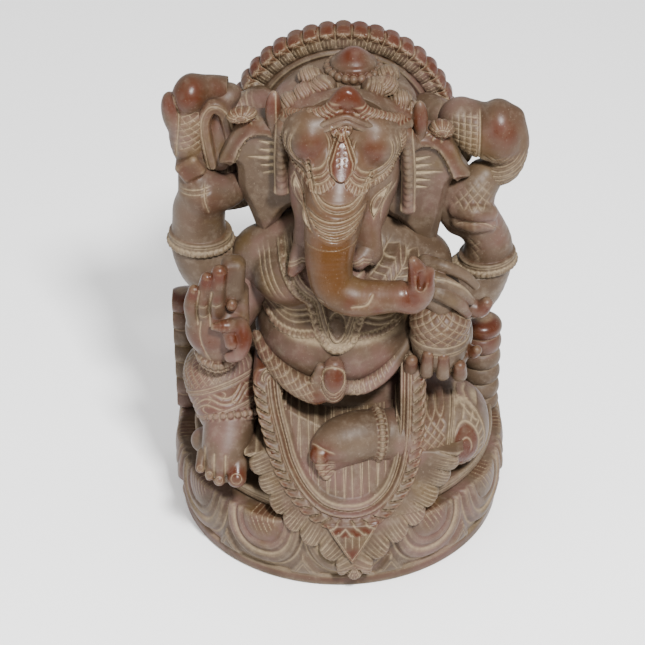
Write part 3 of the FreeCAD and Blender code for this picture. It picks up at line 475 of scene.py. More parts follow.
def engrave_face(c):
    """Brow drop, dome outlines, wrinkles, eyes, and where the stone is oiled or worn."""
    front = step(2, -3, c.y)
    width = np.interp(c.z, [170.8, 171.6, 173.2, 175.6, 182, 186],
                      [0, 2.4, 4.1, 4.4, 1.8, 0.8]).astype(np.float32)
    drop = np.abs(c.x + 0.6) - width
    free = step(0.6, 1.6, np.where(c.z > 168, drop, 9.0))
    for side, cx, cz in DOMES:
        e = np.hypot((c.x - cx) / 6.9, (c.z - cz) / 7.6)
        low = step(cz + 6, cz + 2, c.z) * front * free * step(0, 1.0, side * c.x)
        c.groove((e - 1.0) * 7, 0.34, 0.5, low)
        c.ridge((e - 1.13) * 7, 0.5, 0.5, low)
        c.groove((e - 1.26) * 7, 0.28, 0.4, low)
        c.ridge((e - 1.36) * 7, 0.4, 0.35, low)
        c.groove((e - 1.46) * 7, 0.28, 0.35, low)
        c.worn = np.maximum(c.worn, 0.75 * step(0.95, 0.3, e) * front)
        ticks = nearest(np.arctan2(c.x - cx, c.z - cz), 0.118) * 11
        beyond = step(1.46, 1.52, e) * step(1.82, 1.72, e) * step(184, 178, c.z) * front * free
        c.f = c.f - 0.6 * beyond
        c.groove(ticks, 0.3, 0.5, beyond)
        c.worn = np.maximum(c.worn, 0.4 * beyond)
    star = np.hypot(c.x + 0.9, (c.z - 186.6))
    ray = np.arctan2(c.x + 0.9, c.z - 186.6)
    c.f = c.f - 1.4 * step(4.6, 3.8, star) * (0.55 + 0.45 * np.abs(np.cos(4 * ray))) * front
    c.groove(star - 1.9, 0.3, 0.5, front)
    c.worn = np.maximum(c.worn, 0.7 * step(4.5, 2, star) * front)
    inside = step(0.5, -0.5, drop) * step(170.4, 171.4, c.z) * step(186, 184.5, c.z) * front
    c.f = c.f - 1.7 * inside
    c.worn = np.maximum(c.worn, 0.95 * inside)
    c.groove(np.abs(drop) - 0.5, 0.28, 0.4,
             step(170, 171.4, c.z) * step(186, 184, c.z) * front * step(2, 1, drop))
    dots = np.hypot(np.abs(c.x + 0.6) - 1.2, nearest(c.z, 1.5))
    c.groove(dots, 0.3, 0.22, inside * step(174, 175, c.z))
    nose = step(-6, -10, c.y)
    for dz in (0.0, -1.8):
        d = c.line([(-12.4, 174.4 + dz), (-10.6, 168.2 + dz), (-7.0, 164.6 + dz), (-1.2, 163.4 + dz),
                    (4.6, 164.4 + dz), (9.8, 169.8 + dz)])[0]
        c.groove(d, 0.36, 0.6, nose)
        c.ridge(d - 1.1, 0.6, 0.35, nose)
    for k in range(4):
        z = 159.4 - 1.85 * k
        half = 9.8 - 1.2 * k
        d = c.line([(-2.4 - half, z + 1.0), (-2.4 - half * 0.5, z - 0.1), (-2.4, z - 0.5),
                    (-2.4 + half * 0.5, z - 0.1), (-2.4 + half, z + 1.0)])[0]
        c.groove(d, 0.32, 0.55, nose)
        c.ridge(d - 1.0, 0.6, 0.3, nose)
    eye(c, -16.2, 159.6, -1, 62)
    eye(c, 12.2, 157.4, 1, 60)
    for side, x, z in ((-1, -12.4, 131.5), (1, 8.0, 131.0)):
        mouth = c.line([(x - side * 5, z - 1.5), (x, z - 0.5), (x + side * 2.5, z + 3)])[0]
        c.groove(mouth, 0.5, 0.6, step(2, -4, c.y))
    for at, r, how in (((-3, -26, 160), 12.0, 0.75), ((-3.5, -34, 149), 9.5, 1.3),
                       ((-5, -37, 140), 8.5, 1.25),
                       ((-1, -22, 168), 7.0, 0.7), ((-5, -38, 134), 6.0, 0.7)):
        d2 = (c.x - at[0]) ** 2 + (c.y - at[1]) ** 2 + (c.z - at[2]) ** 2
        c.amber = np.maximum(c.amber, how * np.exp(-d2 / r ** 2))
    c.amber = np.maximum(c.amber, 0.42 * front * step(128, 150, c.z) * step(19, 12, np.abs(c.x)))
    c.amber = np.maximum(c.amber, 0.35 * step(-24, -28, c.y))
    for at, r, how in (((2.0, -39, 131), 2.6, 0.9), ((12, -40, 128), 2.2, 0.9), ((24, -40, 133), 5.0, 1.0),
                       ((25.4, -39, 142), 4.5, 1.2), ((30, -38, 140), 3.5, 1.0)):
        c.rub(at, r, how)


def eye(c, x, z, side, lean):
    """A slanted almond eye with lid folds, and white stone dust in its corners."""
    angle = math.radians(lean) * side
    ca, sa = math.cos(angle), math.sin(angle)
    front = step(4, -1, c.y)
    p, q = ca * (c.x - x) + sa * (c.z - z), ca * (c.z - z) - sa * (c.x - x)
    q = q + side * 0.05 * p * p
    e = np.sqrt((p / 5.6) ** 2 + (q / (2.1 * np.clip(1 - (p / 7.4) ** 2, 0.12, 1))) ** 2)
    c.f = c.f - 0.8 * step(1.3, 0.5, e) * front
    c.groove((e - 1.1) * 2.0, 0.26, 0.5, front * step(2.6, 1.5, e))
    c.groove(np.abs(q) - 2.9, 0.24, 0.4, front * step(6.4, 5, np.abs(p)) * step(0.8, 0.2, q * side))
    c.groove((e - 0.5) * 2.0, 0.2, 0.35, front)
    corners = step(0.95, 0.75, e) * front * step(1.6, 2.6, np.abs(p))
    c.dust = np.maximum(c.dust, 1.3 * corners * step(0.2, 0.5, e))


def head(c):
    """Everything of the head above the cut, and the throat behind the trunk."""
    face(c)
    c.f = smax(c.f, (TRUNK_CUT - c.z) * 0.9 - 40 * step(-20.0, -17.5, c.y + 0.35 * (TRUNK_CUT - c.z)), 0)


def trunk(c):
    """The lower trunk, in front of the throat."""
    face(c)
    c.f = smax(c.f, (c.z - TRUNK_CUT) * 0.9, 0)
    c.f = smax(c.f, 9 * (c.y + 17.5 + 0.35 * (TRUNK_CUT - c.z)), 0)


def tusks(c):
    c.limb([(-13.4, -8, 142, 4.2), (-14.8, -12, 137, 4.1), (-17.0, -15, 132.4, 3.2),
            (-18.6, -16.6, 129.6, 1.9)], 0)
    c.limb([(9.2, -11, 140, 4.2), (8.2, -15.5, 137.6, 4.0), (5.6, -18.6, 135.6, 3.2)], 0)
    for x, z in ((-15.2, 135.2), (7.2, 137.4)):
        c.groove(np.abs(c.z - z + 0.5 * np.abs(c.x - x)) - 0.6, 0.3, 0.35)
    c.rub((-18.4, -16.6, 130), 3.6, 0.8)
    c.rub((6, -19, 134), 4, 0.6)


def ear(c, side):
    """One spread ear, with its rim, dish, scratched rays and flower."""
    if side < 0:
        outer = [(-17, 176), (-24, 180.5), (-33, 180.5), (-39.5, 174.5), (-43.0, 168), (-45.4, 161.4),
                 (-39.4, 160.0),
                 (-38.6, 150), (-35.0, 140), (-31.0, 129), (-27, 131), (-21, 141), (-14, 148)]
        inner = [(-18, 168), (-22, 172.4), (-28, 175.2), (-33.4, 174.4), (-37, 169.6), (-39.2, 163.4),
                 (-41, 157),
                 (-40, 144), (-33, 124), (-20, 128), (-8, 146)]
        marks = [(-25.5, 171.2), (-25.7, 168.2), (-26.6, 165.2), (-25.2, 162.2), (-24.4, 159.4)]
        bloom, wide = (-36.4, 5.4, 182.6), (5.8, 4.0, 3.0)
    else:
        outer = [(17, 173), (25, 176.4), (33, 175.4), (39.6, 169.5), (43.4, 162), (46.6, 155.6),
                 (40.4, 153.0),
                 (38.2, 144), (36.0, 132), (33.6, 120.5), (28, 125), (21, 135), (13, 145)]
        inner = [(18, 163), (22, 167.4), (28, 170.6), (33.2, 169.4), (36.8, 164.0), (39.4, 157.4),
                 (41.4, 150),
                 (39, 134), (35, 114), (20, 120), (8, 142)]
        marks = [(26.6, 164.6), (27.0, 161.6), (28.4, 158.6), (26.8, 155.6), (25.8, 152.8)]
        bloom, wide = (35.4, 6.4, 176.4), (4.8, 4.2, 3.4)
    outline, lobe = polygon(c, outer, 4), polygon(c, inner, 4)
    band = (3.6 - 2.2 * step(-0.6, -3.6, outline) + 0.12 * (np.abs(c.x) - 22)
            + 0.06 * np.maximum(165 - c.z, 0))
    dish = band + 2.6 * step(0.4, -0.6, lobe)
    c.f = smax(smax(outline, dish - c.y, 2.0), c.y - 14.5, 2.4)
    c.groove(lobe + 0.2, 0.4, 0.35)
    c.ridge(lobe - 1.0, 0.8, 0.35)
    c.worn = np.maximum(c.worn, 0.5 * step(0.5, 2.5, lobe) * step(-0.5, -2.5, outline))
    for k, (x, z) in enumerate(marks):
        reach = 7.5 if k == 2 else 5.5
        along = side * (c.x - x + side * (reach - 5.5) * -0.5)
        wedge = np.abs(c.z - z + 0.08 * along * (k - 2)) - 0.75 * np.clip(1 - along / reach, 0, 1)
        notch = step(0.25, -0.25, wedge) * step(-4, -3, along) * step(reach, reach - 1, along)
        c.f = c.f + 0.5 * notch
        c.dust = np.maximum(c.dust, 1.3 * notch)
    petal = c.ball(bloom, wide, 1.2, lean=-12 * side)
    ray = np.arctan2(c.x - bloom[0], (c.z - bloom[2]) * 1.7)
    ring = np.hypot(c.x - bloom[0], (c.z - bloom[2]) * 1.8)
    near = step(2.5, 1.0, petal)
    c.groove(nearest(ray, math.pi / 6) * 4, 0.3, 0.45, near * step(1.8, 2.4, ring))
    c.groove(ring - 2.0, 0.3, 0.4, near)
    c.rub(bloom, 6.0, 1.0)


def hair(c):
    """Combed locks either side of the knot, and the plain cap behind the diadem."""
    c.ball((0.5, 18, 182), (26.0, 14.5, 12.0))
    c.ball((1, 26, 178), (24, 10, 16), 4)
    c.limb([(-20, 5, 184, 4), (-9, 2, 188, 5), (1, 1, 190.5, 5), (11, 2, 187.5, 5), (21, 5, 182, 4)], 3)
    tufts = [(-19, 6.4, 187.6, 4.2, 30), (-13.6, 7, 190.6, 4.6, 20), (-7.4, 8.4, 192.4, 5.0, 40),
             (-12, 14, 193.6, 4.6, 10),
             (11.4, 8.4, 191.6, 5.2, -35), (20.5, 7.4, 187.6, 4.4, -10), (15.6, 9.6, 192.4, 4.4, -60),
             (24, 8, 184, 3.8, -20), (16, 15, 193.6, 4.4, 15)]
    for x, y, z, r, turn in tufts:
        d = c.ball((x, y, z), (r, r * 0.95, r * 0.86), 1.2)
        a = math.radians(turn)
        across = math.cos(a) * (c.x - x) + math.sin(a) * (c.z - z)
        bend = 0.08 * (math.cos(a) * (c.z - z) - math.sin(a) * (c.x - x)) ** 2
        g = np.exp(-(nearest(across + bend, 1.7) / 0.3) ** 2) * step(1.6, 0.4, d)
        c.f = c.f + 0.5 * g
        c.dust = np.maximum(c.dust, 0.45 * g)
        c.rub((x, y - r, z + 1), 4.0, 0.5)


def topknot(c):
    """The ringed knot of hair."""
    cx, cy = 3.6, 20.0
    c.limb([(cx, cy, 184, 7.6), (cx, cy, 192.5, 8.6)], 0, 1)
    c.ball((cx, cy, 197.2), (5.4, 5.4, 4.6), 0.4)
    for r, z, thick in ((6.7, 195.6, 1.9), (9.2, 192.4, 1.2)):
        ring = [(cx + r * math.sin(a), cy - r * math.cos(a), z) for a in np.linspace(-2.6, 2.6, 17)]
        d = c.line(ring, 4.5, 1, front=False)[0]
        c.f = smin(c.f, d - thick, 0.3)
    ring = [(cx + 9.4 * math.sin(a), cy - 9.4 * math.cos(a), 193.8) for a in np.linspace(-2.5, 2.5, 19)]
    d, s, _, run = c.line(ring, 4.5, 1, front=False)
    n = run / round(run / 3.0)
    t = nearest(s, n)
    c.f = smin(c.f, np.sqrt(d * d + t * t) - 1.75, 0.3)
    c.worn = np.maximum(c.worn, 0.8 * step(2.2, 1.4, d) * step(0.9, 0.3, np.abs(t)))
    c.rub((cx, cy - 3, 201), 5.4, 1.3)
    c.rub((cx, cy - 7, 196), 4.0, 0.9)


def diadem(c):
    """Twisted bands that meet in a peak over the brow."""
    left = [(-20.5, 3, 185.4, 1.8), (-15, -3.4, 187.6, 2.3), (-8, -6.0, 189.6, 2.5), (-3, -6.6, 192.0, 2.2)]
    right = [(21.4, 3, 183.0, 1.8), (17, -2.8, 185.6, 2.3), (10.5, -5.4, 188.6, 2.5),
             (5.6, -6.2, 191.2, 2.2)]
    for rows in (left, right):
        d = c.limb(rows, 0.6)
        s = c.line([r[:3] for r in rows], 6, front=False)[1]
        g = np.exp(-(nearest(s + 0.9 * (c.z - 187), 2.4) / 0.4) ** 2) * step(1.6, 0.6, d)
        c.f = c.f + 0.7 * g
        c.dust = np.maximum(c.dust, 0.6 * g)
        c.worn = np.maximum(c.worn, 0.9 * (1 - g) * step(1.5, 0.5, d))
    c.limb([(-6.4, -5.6, 189.0, 2.0), (-2.6, -5.8, 193.8, 2.8), (1.2, -5.2, 197.0, 2.9),
            (4.8, -5.8, 193.4, 2.8),
            (8.4, -5.6, 188.6, 2.0)], 0.8)
    c.ball((1.2, -6.0, 193.6), (3.2, 2.6, 4.4), 0.8)
    c.rub((1.2, -7, 195), 6.5, 1.4)
    for low, r in ((0.0, 1.15), (2.2, 1.0)):
        band = [(-21.5, 0, 183.6), (-15, -6.6, 184.6), (-8, -9.4, 186.6), (-3, -9.8, 189.0),
                (1.0, -9.6, 190.2),
                (5.0, -9.6, 188.4), (11, -8.8, 185.4), (17, -6.2, 183.0), (22.5, 0, 181.4)]
        c.limb([(x, y - 0.25 * low, z - low, r) for x, y, z in band], 0.5)
    c.limb([(x, y + 2.6, z - 0.8, 2.6) for x, y, z in band], 0.8)


def tassels(c, side):
    """A bead strip and a leaf-shaped tag beside the ear."""
    if side < 0:
        rows = [(-21.6, -1.4, 181.0), (-22.4, -2.0, 168), (-22.4, -2.4, 156.6)]
        tag = (-25.0, 3.0, 186.0, -2)
    else:
        rows = [(22.2, -1.0, 178.0), (23.4, -2.0, 163), (23.4, -2.4, 148.8)]
        tag = (27.4, 4.0, 181.4, 2)
    c.limb([(x, y + 1.8, z, 2.9) for x, y, z in rows], 0)
    d, s, _, run = c.line(rows, 5, front=False)
    n = run / round(run / 2.7)
    t = nearest(s - n / 2, n)
    c.f = smin(c.f, np.sqrt(np.maximum(d * d + 0.8 * t * t, 0)) - 1.9, 0.3)
    c.groove(np.abs(c.x - np.interp(c.z, [p[2] for p in rows[::-1]], [p[0] for p in rows[::-1]])) - 2.4,
             0.3, 0.4)
    end = rows[-1]
    c.ball((end[0], end[1] + 1.0, end[2] - 1.4), (3.2, 2.8, 2.0), 0.8)
    x, y, z, lean = tag
    c.ball((x, y, z), (2.9, 2.6, 7.6), 0.0, lean=lean)
    c.limb([(x + side * -0.5, y + 1, z - 7, 2.6), (x - side * 1.5, y - 1, z - 9.5, 2.2), rows[0] + (2.4,)],
           1.2)
    c.rub((x, y - 3, z + 1), 6.0, 1.0)


# ---------------------------------------------------------------- the body
NECKLACE = [(-24.5, 141), (-22.5, 131), (-18.6, 122), (-12.2, 113.5), (-8.6, 105), (-3.4, 99.8),
            (2.6, 102.4),
            (5.6, 108.5), (9.6, 116)]


def torso(c):
    """Belly, chest and hips, with the shawl and the long necklace."""
    c.ball((-2, 6, 92), (31.6, 30.6, 27))
    c.ball((-1.5, 9, 115), (35, 18.5, 20), 6)
    c.ball((-1, 8, 58), (33, 23, 24), 5)
    c.limb([(-30, 10, 120, 12), (0, 12, 128, 14), (29, 10, 117, 12)], 7)
    c.ball((-19.5, -1.5, 119), (14.5, 13.2, 11.5), 2.2)
    c.ball((16.5, -2.5, 119), (14.5, 13.2, 11.5), 2.2)
    front = step(4, -2, c.y)
    for pts in ([(-31, 112), (-27.4, 108.8), (-20, 107.4), (-11.6, 109.6)],
                [(28, 110), (23, 106.6), (15, 106.6), (6, 109.8)]):
        d = c.line(pts)[0]
        c.groove(d, 0.4, 0.55, front)
        c.groove(d - 1.5, 0.3, 0.3, front)
    for pts in ([(-31, 105.8), (-26.4, 103.0), (-19, 102.6), (-10.6, 104.2)],
                [(4, 103.6), (13, 103.2), (21, 104.8), (26.4, 108.6)]):
        c.beads(pts, 1.25, 1.75, 0.9, front)
    d, _, side, _ = c.line(NECKLACE, 12)
    c.f = c.f - 1.1 * step(3.4, 2.8, np.abs(d * side - 1.2)) * front
    c.beads(NECKLACE, 1.35, 2.1, 1.0, front)
    inner = d * side
    c.groove(inner - 2.2, 0.3, 0.4, front)
    c.groove(inner - 3.6, 0.26, 0.3, front)
    drop = np.hypot((c.x + 2.4) / 3.1, (c.z - 106.4) / 3.9)
    c.f = c.f - 1.4 * np.sqrt(np.clip(1 - drop * drop, 0, 1)) * front
    c.groove((drop - 1.1) * 3, 0.3, 0.5, front)
    c.groove((drop - 1.7) * 3, 0.26, 0.3, front * step(110, 104, c.z + np.abs(c.x)))
    shoulder = front * step(114, 120, c.z)
    for off in (5.4, 7.4, 9.4):
        c.groove(inner + off, 0.28, 0.3, shoulder * step(-10, -14, c.x))
    below = step(1.2, -0.6, 0.72 * (c.x - 32) + 0.7 * (c.z - 128))
    shawl = front * step(8, 11, c.x) * step(113, 117, c.z) * below
    lane = 0.72 * c.x - 0.7 * c.z
    course = 0.7 * c.x + 0.72 * c.z
    row = nearest(lane, 7.0)
    c.groove(np.abs(row) - 3.5, 0.3, 0.45, shawl)
    c.groove(nearest(course + 0.8 * np.abs(row), 2.6), 0.26, 0.35, shawl)
    c.ridge(row, 0.7, 0.3, shawl)
    c.dust = np.maximum(c.dust, 0.7 * np.exp(-((c.z - 101.5) / 1.2) ** 2) * front * step(24, 18, np.abs(c.x)))
    c.rub((-15, -22, 97), 8.5, 0.4)
    c.rub((14, -22, 97), 8.5, 0.35)
    c.rub((-20, -14, 115), 7, 0.35)


def belt(c):
    """The snake tied round the belly."""
    c.limb([(-33, -5, 93.4, 2.0), (-28, -14.5, 89.0, 3.0), (-19.4, -22.8, 85.0, 4.3),
            (-11.4, -26.8, 83.2, 4.9),
            (-8.0, -27.6, 84.0, 4.6)], 0)
    c.limb([(-10.4, -27.0, 83.4, 4.2), (-9.6, -27.6, 89, 2.8), (-8.2, -27, 94.0, 2.0)], 1.0)
    c.limb([(-4.0, -28.2, 84.2, 4.6), (-3.6, -29.0, 89.4, 4.8), (-3.4, -28.0, 95.4, 3.8)], 0.4)
    c.limb([(0, -26.8, 84.8, 2.8), (7, -25.4, 84.2, 3.0), (15, -21.4, 87.0, 2.8), (22, -14.4, 92.4, 2.2),
            (26.6, -6, 98.0, 1.7)], 0.6)
    front = step(4, -2, c.y)
    c.hatch(c.x * 0.95, c.z + 0.35 * c.x, 2.9, step(-9.5, -12, c.x) * front)
    s = c.line([(0, 85), (7, 84.4), (15, 87.2), (22, 92.6), (26.6, 98)], 5)[1]
    c.groove(nearest(s, 2.0), 0.24, 0.4, front * step(1, 3, c.x)
             * step(-0.8, 0.4, c.z - 83.4 - 0.05 * (c.x - 6) ** 2))
    c.hatch(c.x, c.z, 2.6, front * step(2, 3, c.x) * step(8, 7, c.x))
    cx = -3.6
    on = step(-26, -28, c.y) * step(5.4, 4.6, np.abs(c.x - cx))
    for z in (83.6, 85.6, 87.6):
        c.groove(c.z - z - 0.22 * (c.x - cx) ** 2 + 1.0, 0.26, 0.4, on)
    c.groove(np.hypot(c.x - cx, (c.z - 92.0) * 0.8) - 4.0, 0.3, 0.45, on * step(86, 90, c.z))
    c.rub((-3.4, -32, 93.6), 4.8, 1.4)
    c.rub((-10, -31, 82), 4.5, 1.1)
    c.rub((-3.4, -33, 85), 3.6, 0.9)
    c.worn = np.maximum(c.worn, 0.35 * step(-9.5, -12, c.x))


# ---------------------------------------------------------------- arms and what they hold
def armlet(c, centre, r, z_lean=0.0):
    """A flat band with a ring of beads in relief round an upright arm."""
    x, y, z = centre
    q = np.hypot(c.x - x, c.y - y)
    high = c.z - z - z_lean * (c.x - x)
    c.f = smin(c.f, np.hypot(np.maximum(q - r, 0), np.maximum(np.abs(high) - 1.9, 0)) - 0.7, 0.4)
    turn = np.arctan2(c.x - x, -(c.y - y))
    near = step(r + 5, r + 3, q)
    u = np.hypot(nearest(turn, 0.19) * r, high + 1.4) / 1.3
    c.f = c.f - 1.0 * np.sqrt(np.clip(1 - u * u, 0, 1)) * near
    ring = np.exp(-((u - 1.05) / 0.3) ** 2) * near
    c.dust = np.maximum(c.dust, 0.8 * ring * step(3, 2, np.abs(high + 1.4)))
    c.groove(high - 1.2, 0.3, 0.4, near)
    c.groove(high + 3.1, 0.3, 0.4, near)


def right_rear(c):
    """The raised rear right arm and its hand."""
    c.limb([(-27, 12, 120, 9), (-38, 13, 113, 10.8), (-48.5, 13.5, 112.0, 12.0), (-53.6, 14, 120, 11.2),
            (-54.4, 14, 129, 10.2), (-54, 14, 137, 9.2)], 0, 5)
    c.limb([(-54, 13.5, 138, 8.8), (-52.6, 12, 146, 8.8), (-54.6, 13.6, 152, 6.6)], 3.5)
    c.limb([(-51, 9, 146.6, 6.8), (-44, 12.6, 146, 6.6), (-37, 18, 147, 5.0), (-31, 24, 149, 5.0)], 2.5)
    c.block((-56.0, 10.5, 158.6), (4.8, 4.8, 4.2), 1.8, 1.4, lean=32)
    armlet(c, (-53.8, 14, 126), 11.3, -0.03)
    c.groove(c.line([(-50.0, 158), (-51, 150), (-49.6, 143)], 3)[0], 0.36, 0.6, step(8, 4, c.y))
    c.groove(np.abs(c.z - 150.5 - 0.2 * (c.x + 55)) - 0.8, 0.28, 0.35,
             step(10, 6, c.y) * step(-48, -50, c.x))
    c.rub((-57, 6, 158), 5, 0.7)
    c.rub((-50, 4, 146), 6, 0.45)
    c.rub((-57, 3, 140), 6, 0.3)


def goad(c):
    """The shaft and head of the goad."""
    c.limb([(-55.5, 14, 158, 5.0), (-57.0, 15, 166, 6.6), (-56.4, 15.5, 176, 7.6)], 0)
    c.ball((-55.6, 13.4, 186.0), (6.2, 6.8, 7.2), 1.6, lean=-14)
    c.limb([(-54, 15, 189, 4.2), (-47, 18, 186.4, 5.0), (-41, 22, 183, 5.4)], 3)
    c.ball((-61.4, 14.4, 177.4), (4.4, 5.6, 9.4), 1.0, lean=12)
    c.groove(c.line([(-60.8, 187), (-59.4, 179), (-60.4, 169), (-61, 163)], 3)[0], 0.4, 0.7,
             step(16, 12, c.y))
    net = step(-60.5, -59, c.x) * step(183, 180.5, c.z) * step(164, 167, c.z) * step(14, 10, c.y)
    sweep = c.z - 0.9 * c.x - 0.03 * (c.x + 48) ** 2
    c.groove(nearest(sweep, 2.6), 0.24, 0.34, net)
    c.groove(nearest(c.z + 1.2 * c.x, 4.2), 0.2, 0.28, net)
    c.rub((-55.2, 7, 190), 7.0, 1.3)
    c.rub((-62, 9, 184), 5.0, 1.0)
    c.rub((-46, 14, 188), 5.0, 0.6)


def hook(c):
    """The hook beside the goad."""
    c.limb([(-46, 17, 158, 5.0), (-45.6, 18, 168, 6.0), (-44.6, 18.6, 176, 6.0)], 0)
    rows = [(-48.6, 12.4, 158, 2.2), (-50.0, 11.8, 168, 2.4), (-50.4, 11.6, 177, 2.6),
            (-47.4, 11.4, 182.6, 2.7), (-43.2, 12, 180.4, 2.7), (-41.6, 13, 173.6, 2.6),
            (-40.6, 14, 167, 2.5), (-36.6, 15, 161.5, 2.4)]
    c.limb(rows, 0.6, 5)
    edge = c.line([(x, z) for x, _, z, _ in rows], 5)
    c.groove(edge[0] * edge[2] - 1.0, 0.3, 0.45, step(14, 11, c.y))
    c.ridge(edge[0] * edge[2] + 1.6, 0.5, 0.35, step(14, 11, c.y))
    c.ball((-42.6, 19, 183.0), (5.6, 5.5, 4.4), 3.0, lean=20)
    c.rub((-47, 8, 184), 5, 0.6)
    c.rub((-46, 12, 174), 5, 0.4)


def left_rear(c):
    """The raised rear left arm and its hand."""
    c.limb([(25, 12, 114, 9), (35, 12.5, 105, 10.5), (46, 13, 102.4, 12.2), (53.4, 14, 112, 10.2),
            (54.6, 14, 123, 9.0), (50.8, 13, 133, 7.6)], 0, 5)
    c.limb([(51.5, 13, 131, 7.4), (47.8, 12, 139, 8.4), (48.5, 13.5, 146, 8.2), (52, 15, 151, 7.0)], 3)
    c.limb([(41.0, 15, 146, 6.0), (40.6, 15, 138, 6.4), (43.0, 15, 132, 5.6)], 3)
    c.limb([(42, 8, 141, 3.2), (48, 4.4, 142, 3.6), (54, 6.4, 140.5, 3.2)], 1.0)
    c.limb([(43, 8, 136, 3.0), (48.4, 5.0, 136.6, 3.4), (54, 7, 135.4, 3.0)], 1.0)
    armlet(c, (54.4, 14, 116.5), 10.2, 0.10)
    on = step(10, 6, c.y)
    c.groove(c.z - 138.8 + 0.06 * (c.x - 48) ** 2, 0.34, 0.6, on * step(131, 134, c.z) * step(41, 43, c.x))
    c.hatch(c.x, c.z * 0.9, 3.4, on * step(143, 144.5, c.z))
    c.hatch(c.x, c.z * 0.9, 3.4, on * step(52, 50, c.x) * step(131, 128, c.z) * step(119, 121, c.z))
    c.rub((48, 2, 140), 5, 0.4)
    c.rub((56, 5, 128), 7, 0.35)


def conch(c):
    """The conch and its pleated cover."""
    c.limb([(43, 19, 173, 8.4), (50, 16.5, 170, 10.0), (55, 15, 168, 9.0)], 0)
    c.ball((57.0, 14.4, 170.6), (8.8, 10.2, 12.6), 2.0, lean=8)
    c.limb([(61, 14, 176, 5.0), (63.6, 13.4, 166, 4.4), (60, 13.6, 156, 5.4), (53, 15, 151.5, 5.0)], 1.4)
    sleeve = step(49.5, 48, c.x) * step(15, 11, c.y)
    c.groove(nearest(c.x, 2.2), 0.24, 0.34, sleeve)
    c.groove(nearest(c.z, 2.2), 0.24, 0.34, sleeve)
    c.groove(c.x - 49.4, 0.4, 0.6, step(16, 12, c.y))
    d = c.line([(50, 163), (55, 159.5), (61, 162.5), (64, 168)], 9)
    c.groove(nearest(d[0] * d[2], 1.7), 0.28, 0.5, step(166, 163, c.z) * step(16, 11, c.y))
    c.rub((57.5, 5, 175), 8.5, 0.9)
    c.rub((60, 6, 166), 6, 0.5)


def right_hand(c):
    """The front right hand, raised in blessing, with its bracelet."""
    c.limb([(-30, 8, 114, 9), (-38.5, 5, 105, 9.6), (-45.5, -2, 96, 8.8), (-47.6, -9, 92.5, 7.4),
            (-47.6, -13.5, 93.5, 6.8)], 0, 5)
    c.ball((-48.2, -15.2, 103.6), (10.6, 6.2, 12.4), 2.0)
    c.ball((-40.6, -17.6, 103.0), (4.8, 4.6, 8.4), 2.0)
    for rows in ([(-55.4, -16.6, 108, 2.8), (-56.0, -17.8, 116, 2.7), (-54.6, -18.6, 123.0, 2.1)],
                 [(-51.4, -17.4, 111, 2.9), (-51.4, -18.8, 120, 2.8), (-49.6, -19.6, 129.0, 2.2)],
                 [(-46.6, -17.6, 113, 3.2), (-46.4, -19.0, 122, 3.2), (-45.0, -19.6, 131.6, 2.8)]):
        c.limb(rows, 0.5)
        c.rub((rows[-1][0], rows[-1][1] - 2, rows[-1][2]), 4.6, 1.2)
        c.rub((rows[1][0], rows[1][1] - 3, rows[1][2] - 1), 2.6, 0.8)
    c.block((-40.6, -13.6, 125.0), (4.6, 4.6, 9.0), 3.4, 1.6, lean=-4)
    c.block((-40.4, -12.0, 112.0), (5.4, 4.6, 9.0), 3.0, 1.2)
    c.limb([(-38.2, -20, 108.0, 3.0), (-42.4, -23.0, 110.0, 2.8), (-47.6, -24.2, 110.6, 1.4)], 0.8)
    c.limb([(-38.0, -20.4, 108.0, 3.4), (-36.8, -22.6, 104, 3.2), (-38.6, -24.0, 98.6, 2.8),
            (-42.0, -23.6, 96.6, 2.2)], 0.8)
    c.limb([(-42.4, -22.6, 107.4, 2.4), (-41.2, -24.6, 103.6, 2.6)], 0.6, 1)
    c.ball((-41.0, -18.6, 116.6), (2.2, 2.4, 2.6), 0.4)
    front = step(-8, -12, c.y)
    c.groove(c.line([(-52.4, 110), (-53.0, 104), (-51.6, 97), (-49.6, 92.5)], 3)[0], 0.3, 0.45, front)
    for x in (-53.6, -49.0):
        c.groove(c.line([(x, 108.5), (x - 0.1, 116), (x + 1.2, 124)], 3)[0], 0.42, 0.6, front)
    for x, z in ((-51.4, 117.2), (-51.2, 112.6), (-46.6, 118.0)):
        c.groove(np.hypot(c.x - x, (c.z - z - 1.4) * 1.1) - 1.9, 0.26, 0.35, front * step(z + 1, z, c.z))
    wrist = [(-55.8, -9, 93.6), (-53.4, -17, 91.2), (-47.4, -20.4, 89.8), (-41.6, -17.6, 90.6),
             (-39.0, -10, 92.4)]
    c.string(wrist, 1.55, 2.3)
    low = [(x, y + 0.4, z - 2.4) for x, y, z in wrist]
    c.string(low, 1.0, 1.6)
    c.rub((-46, -25, 111), 5.0, 1.3)
    c.rub((-38, -26, 106), 5.5, 1.4)
    c.rub((-41.0, -21, 116.6), 2.6, 1.6)
    c.rub((-52, -22, 100), 8.0, 0.9)


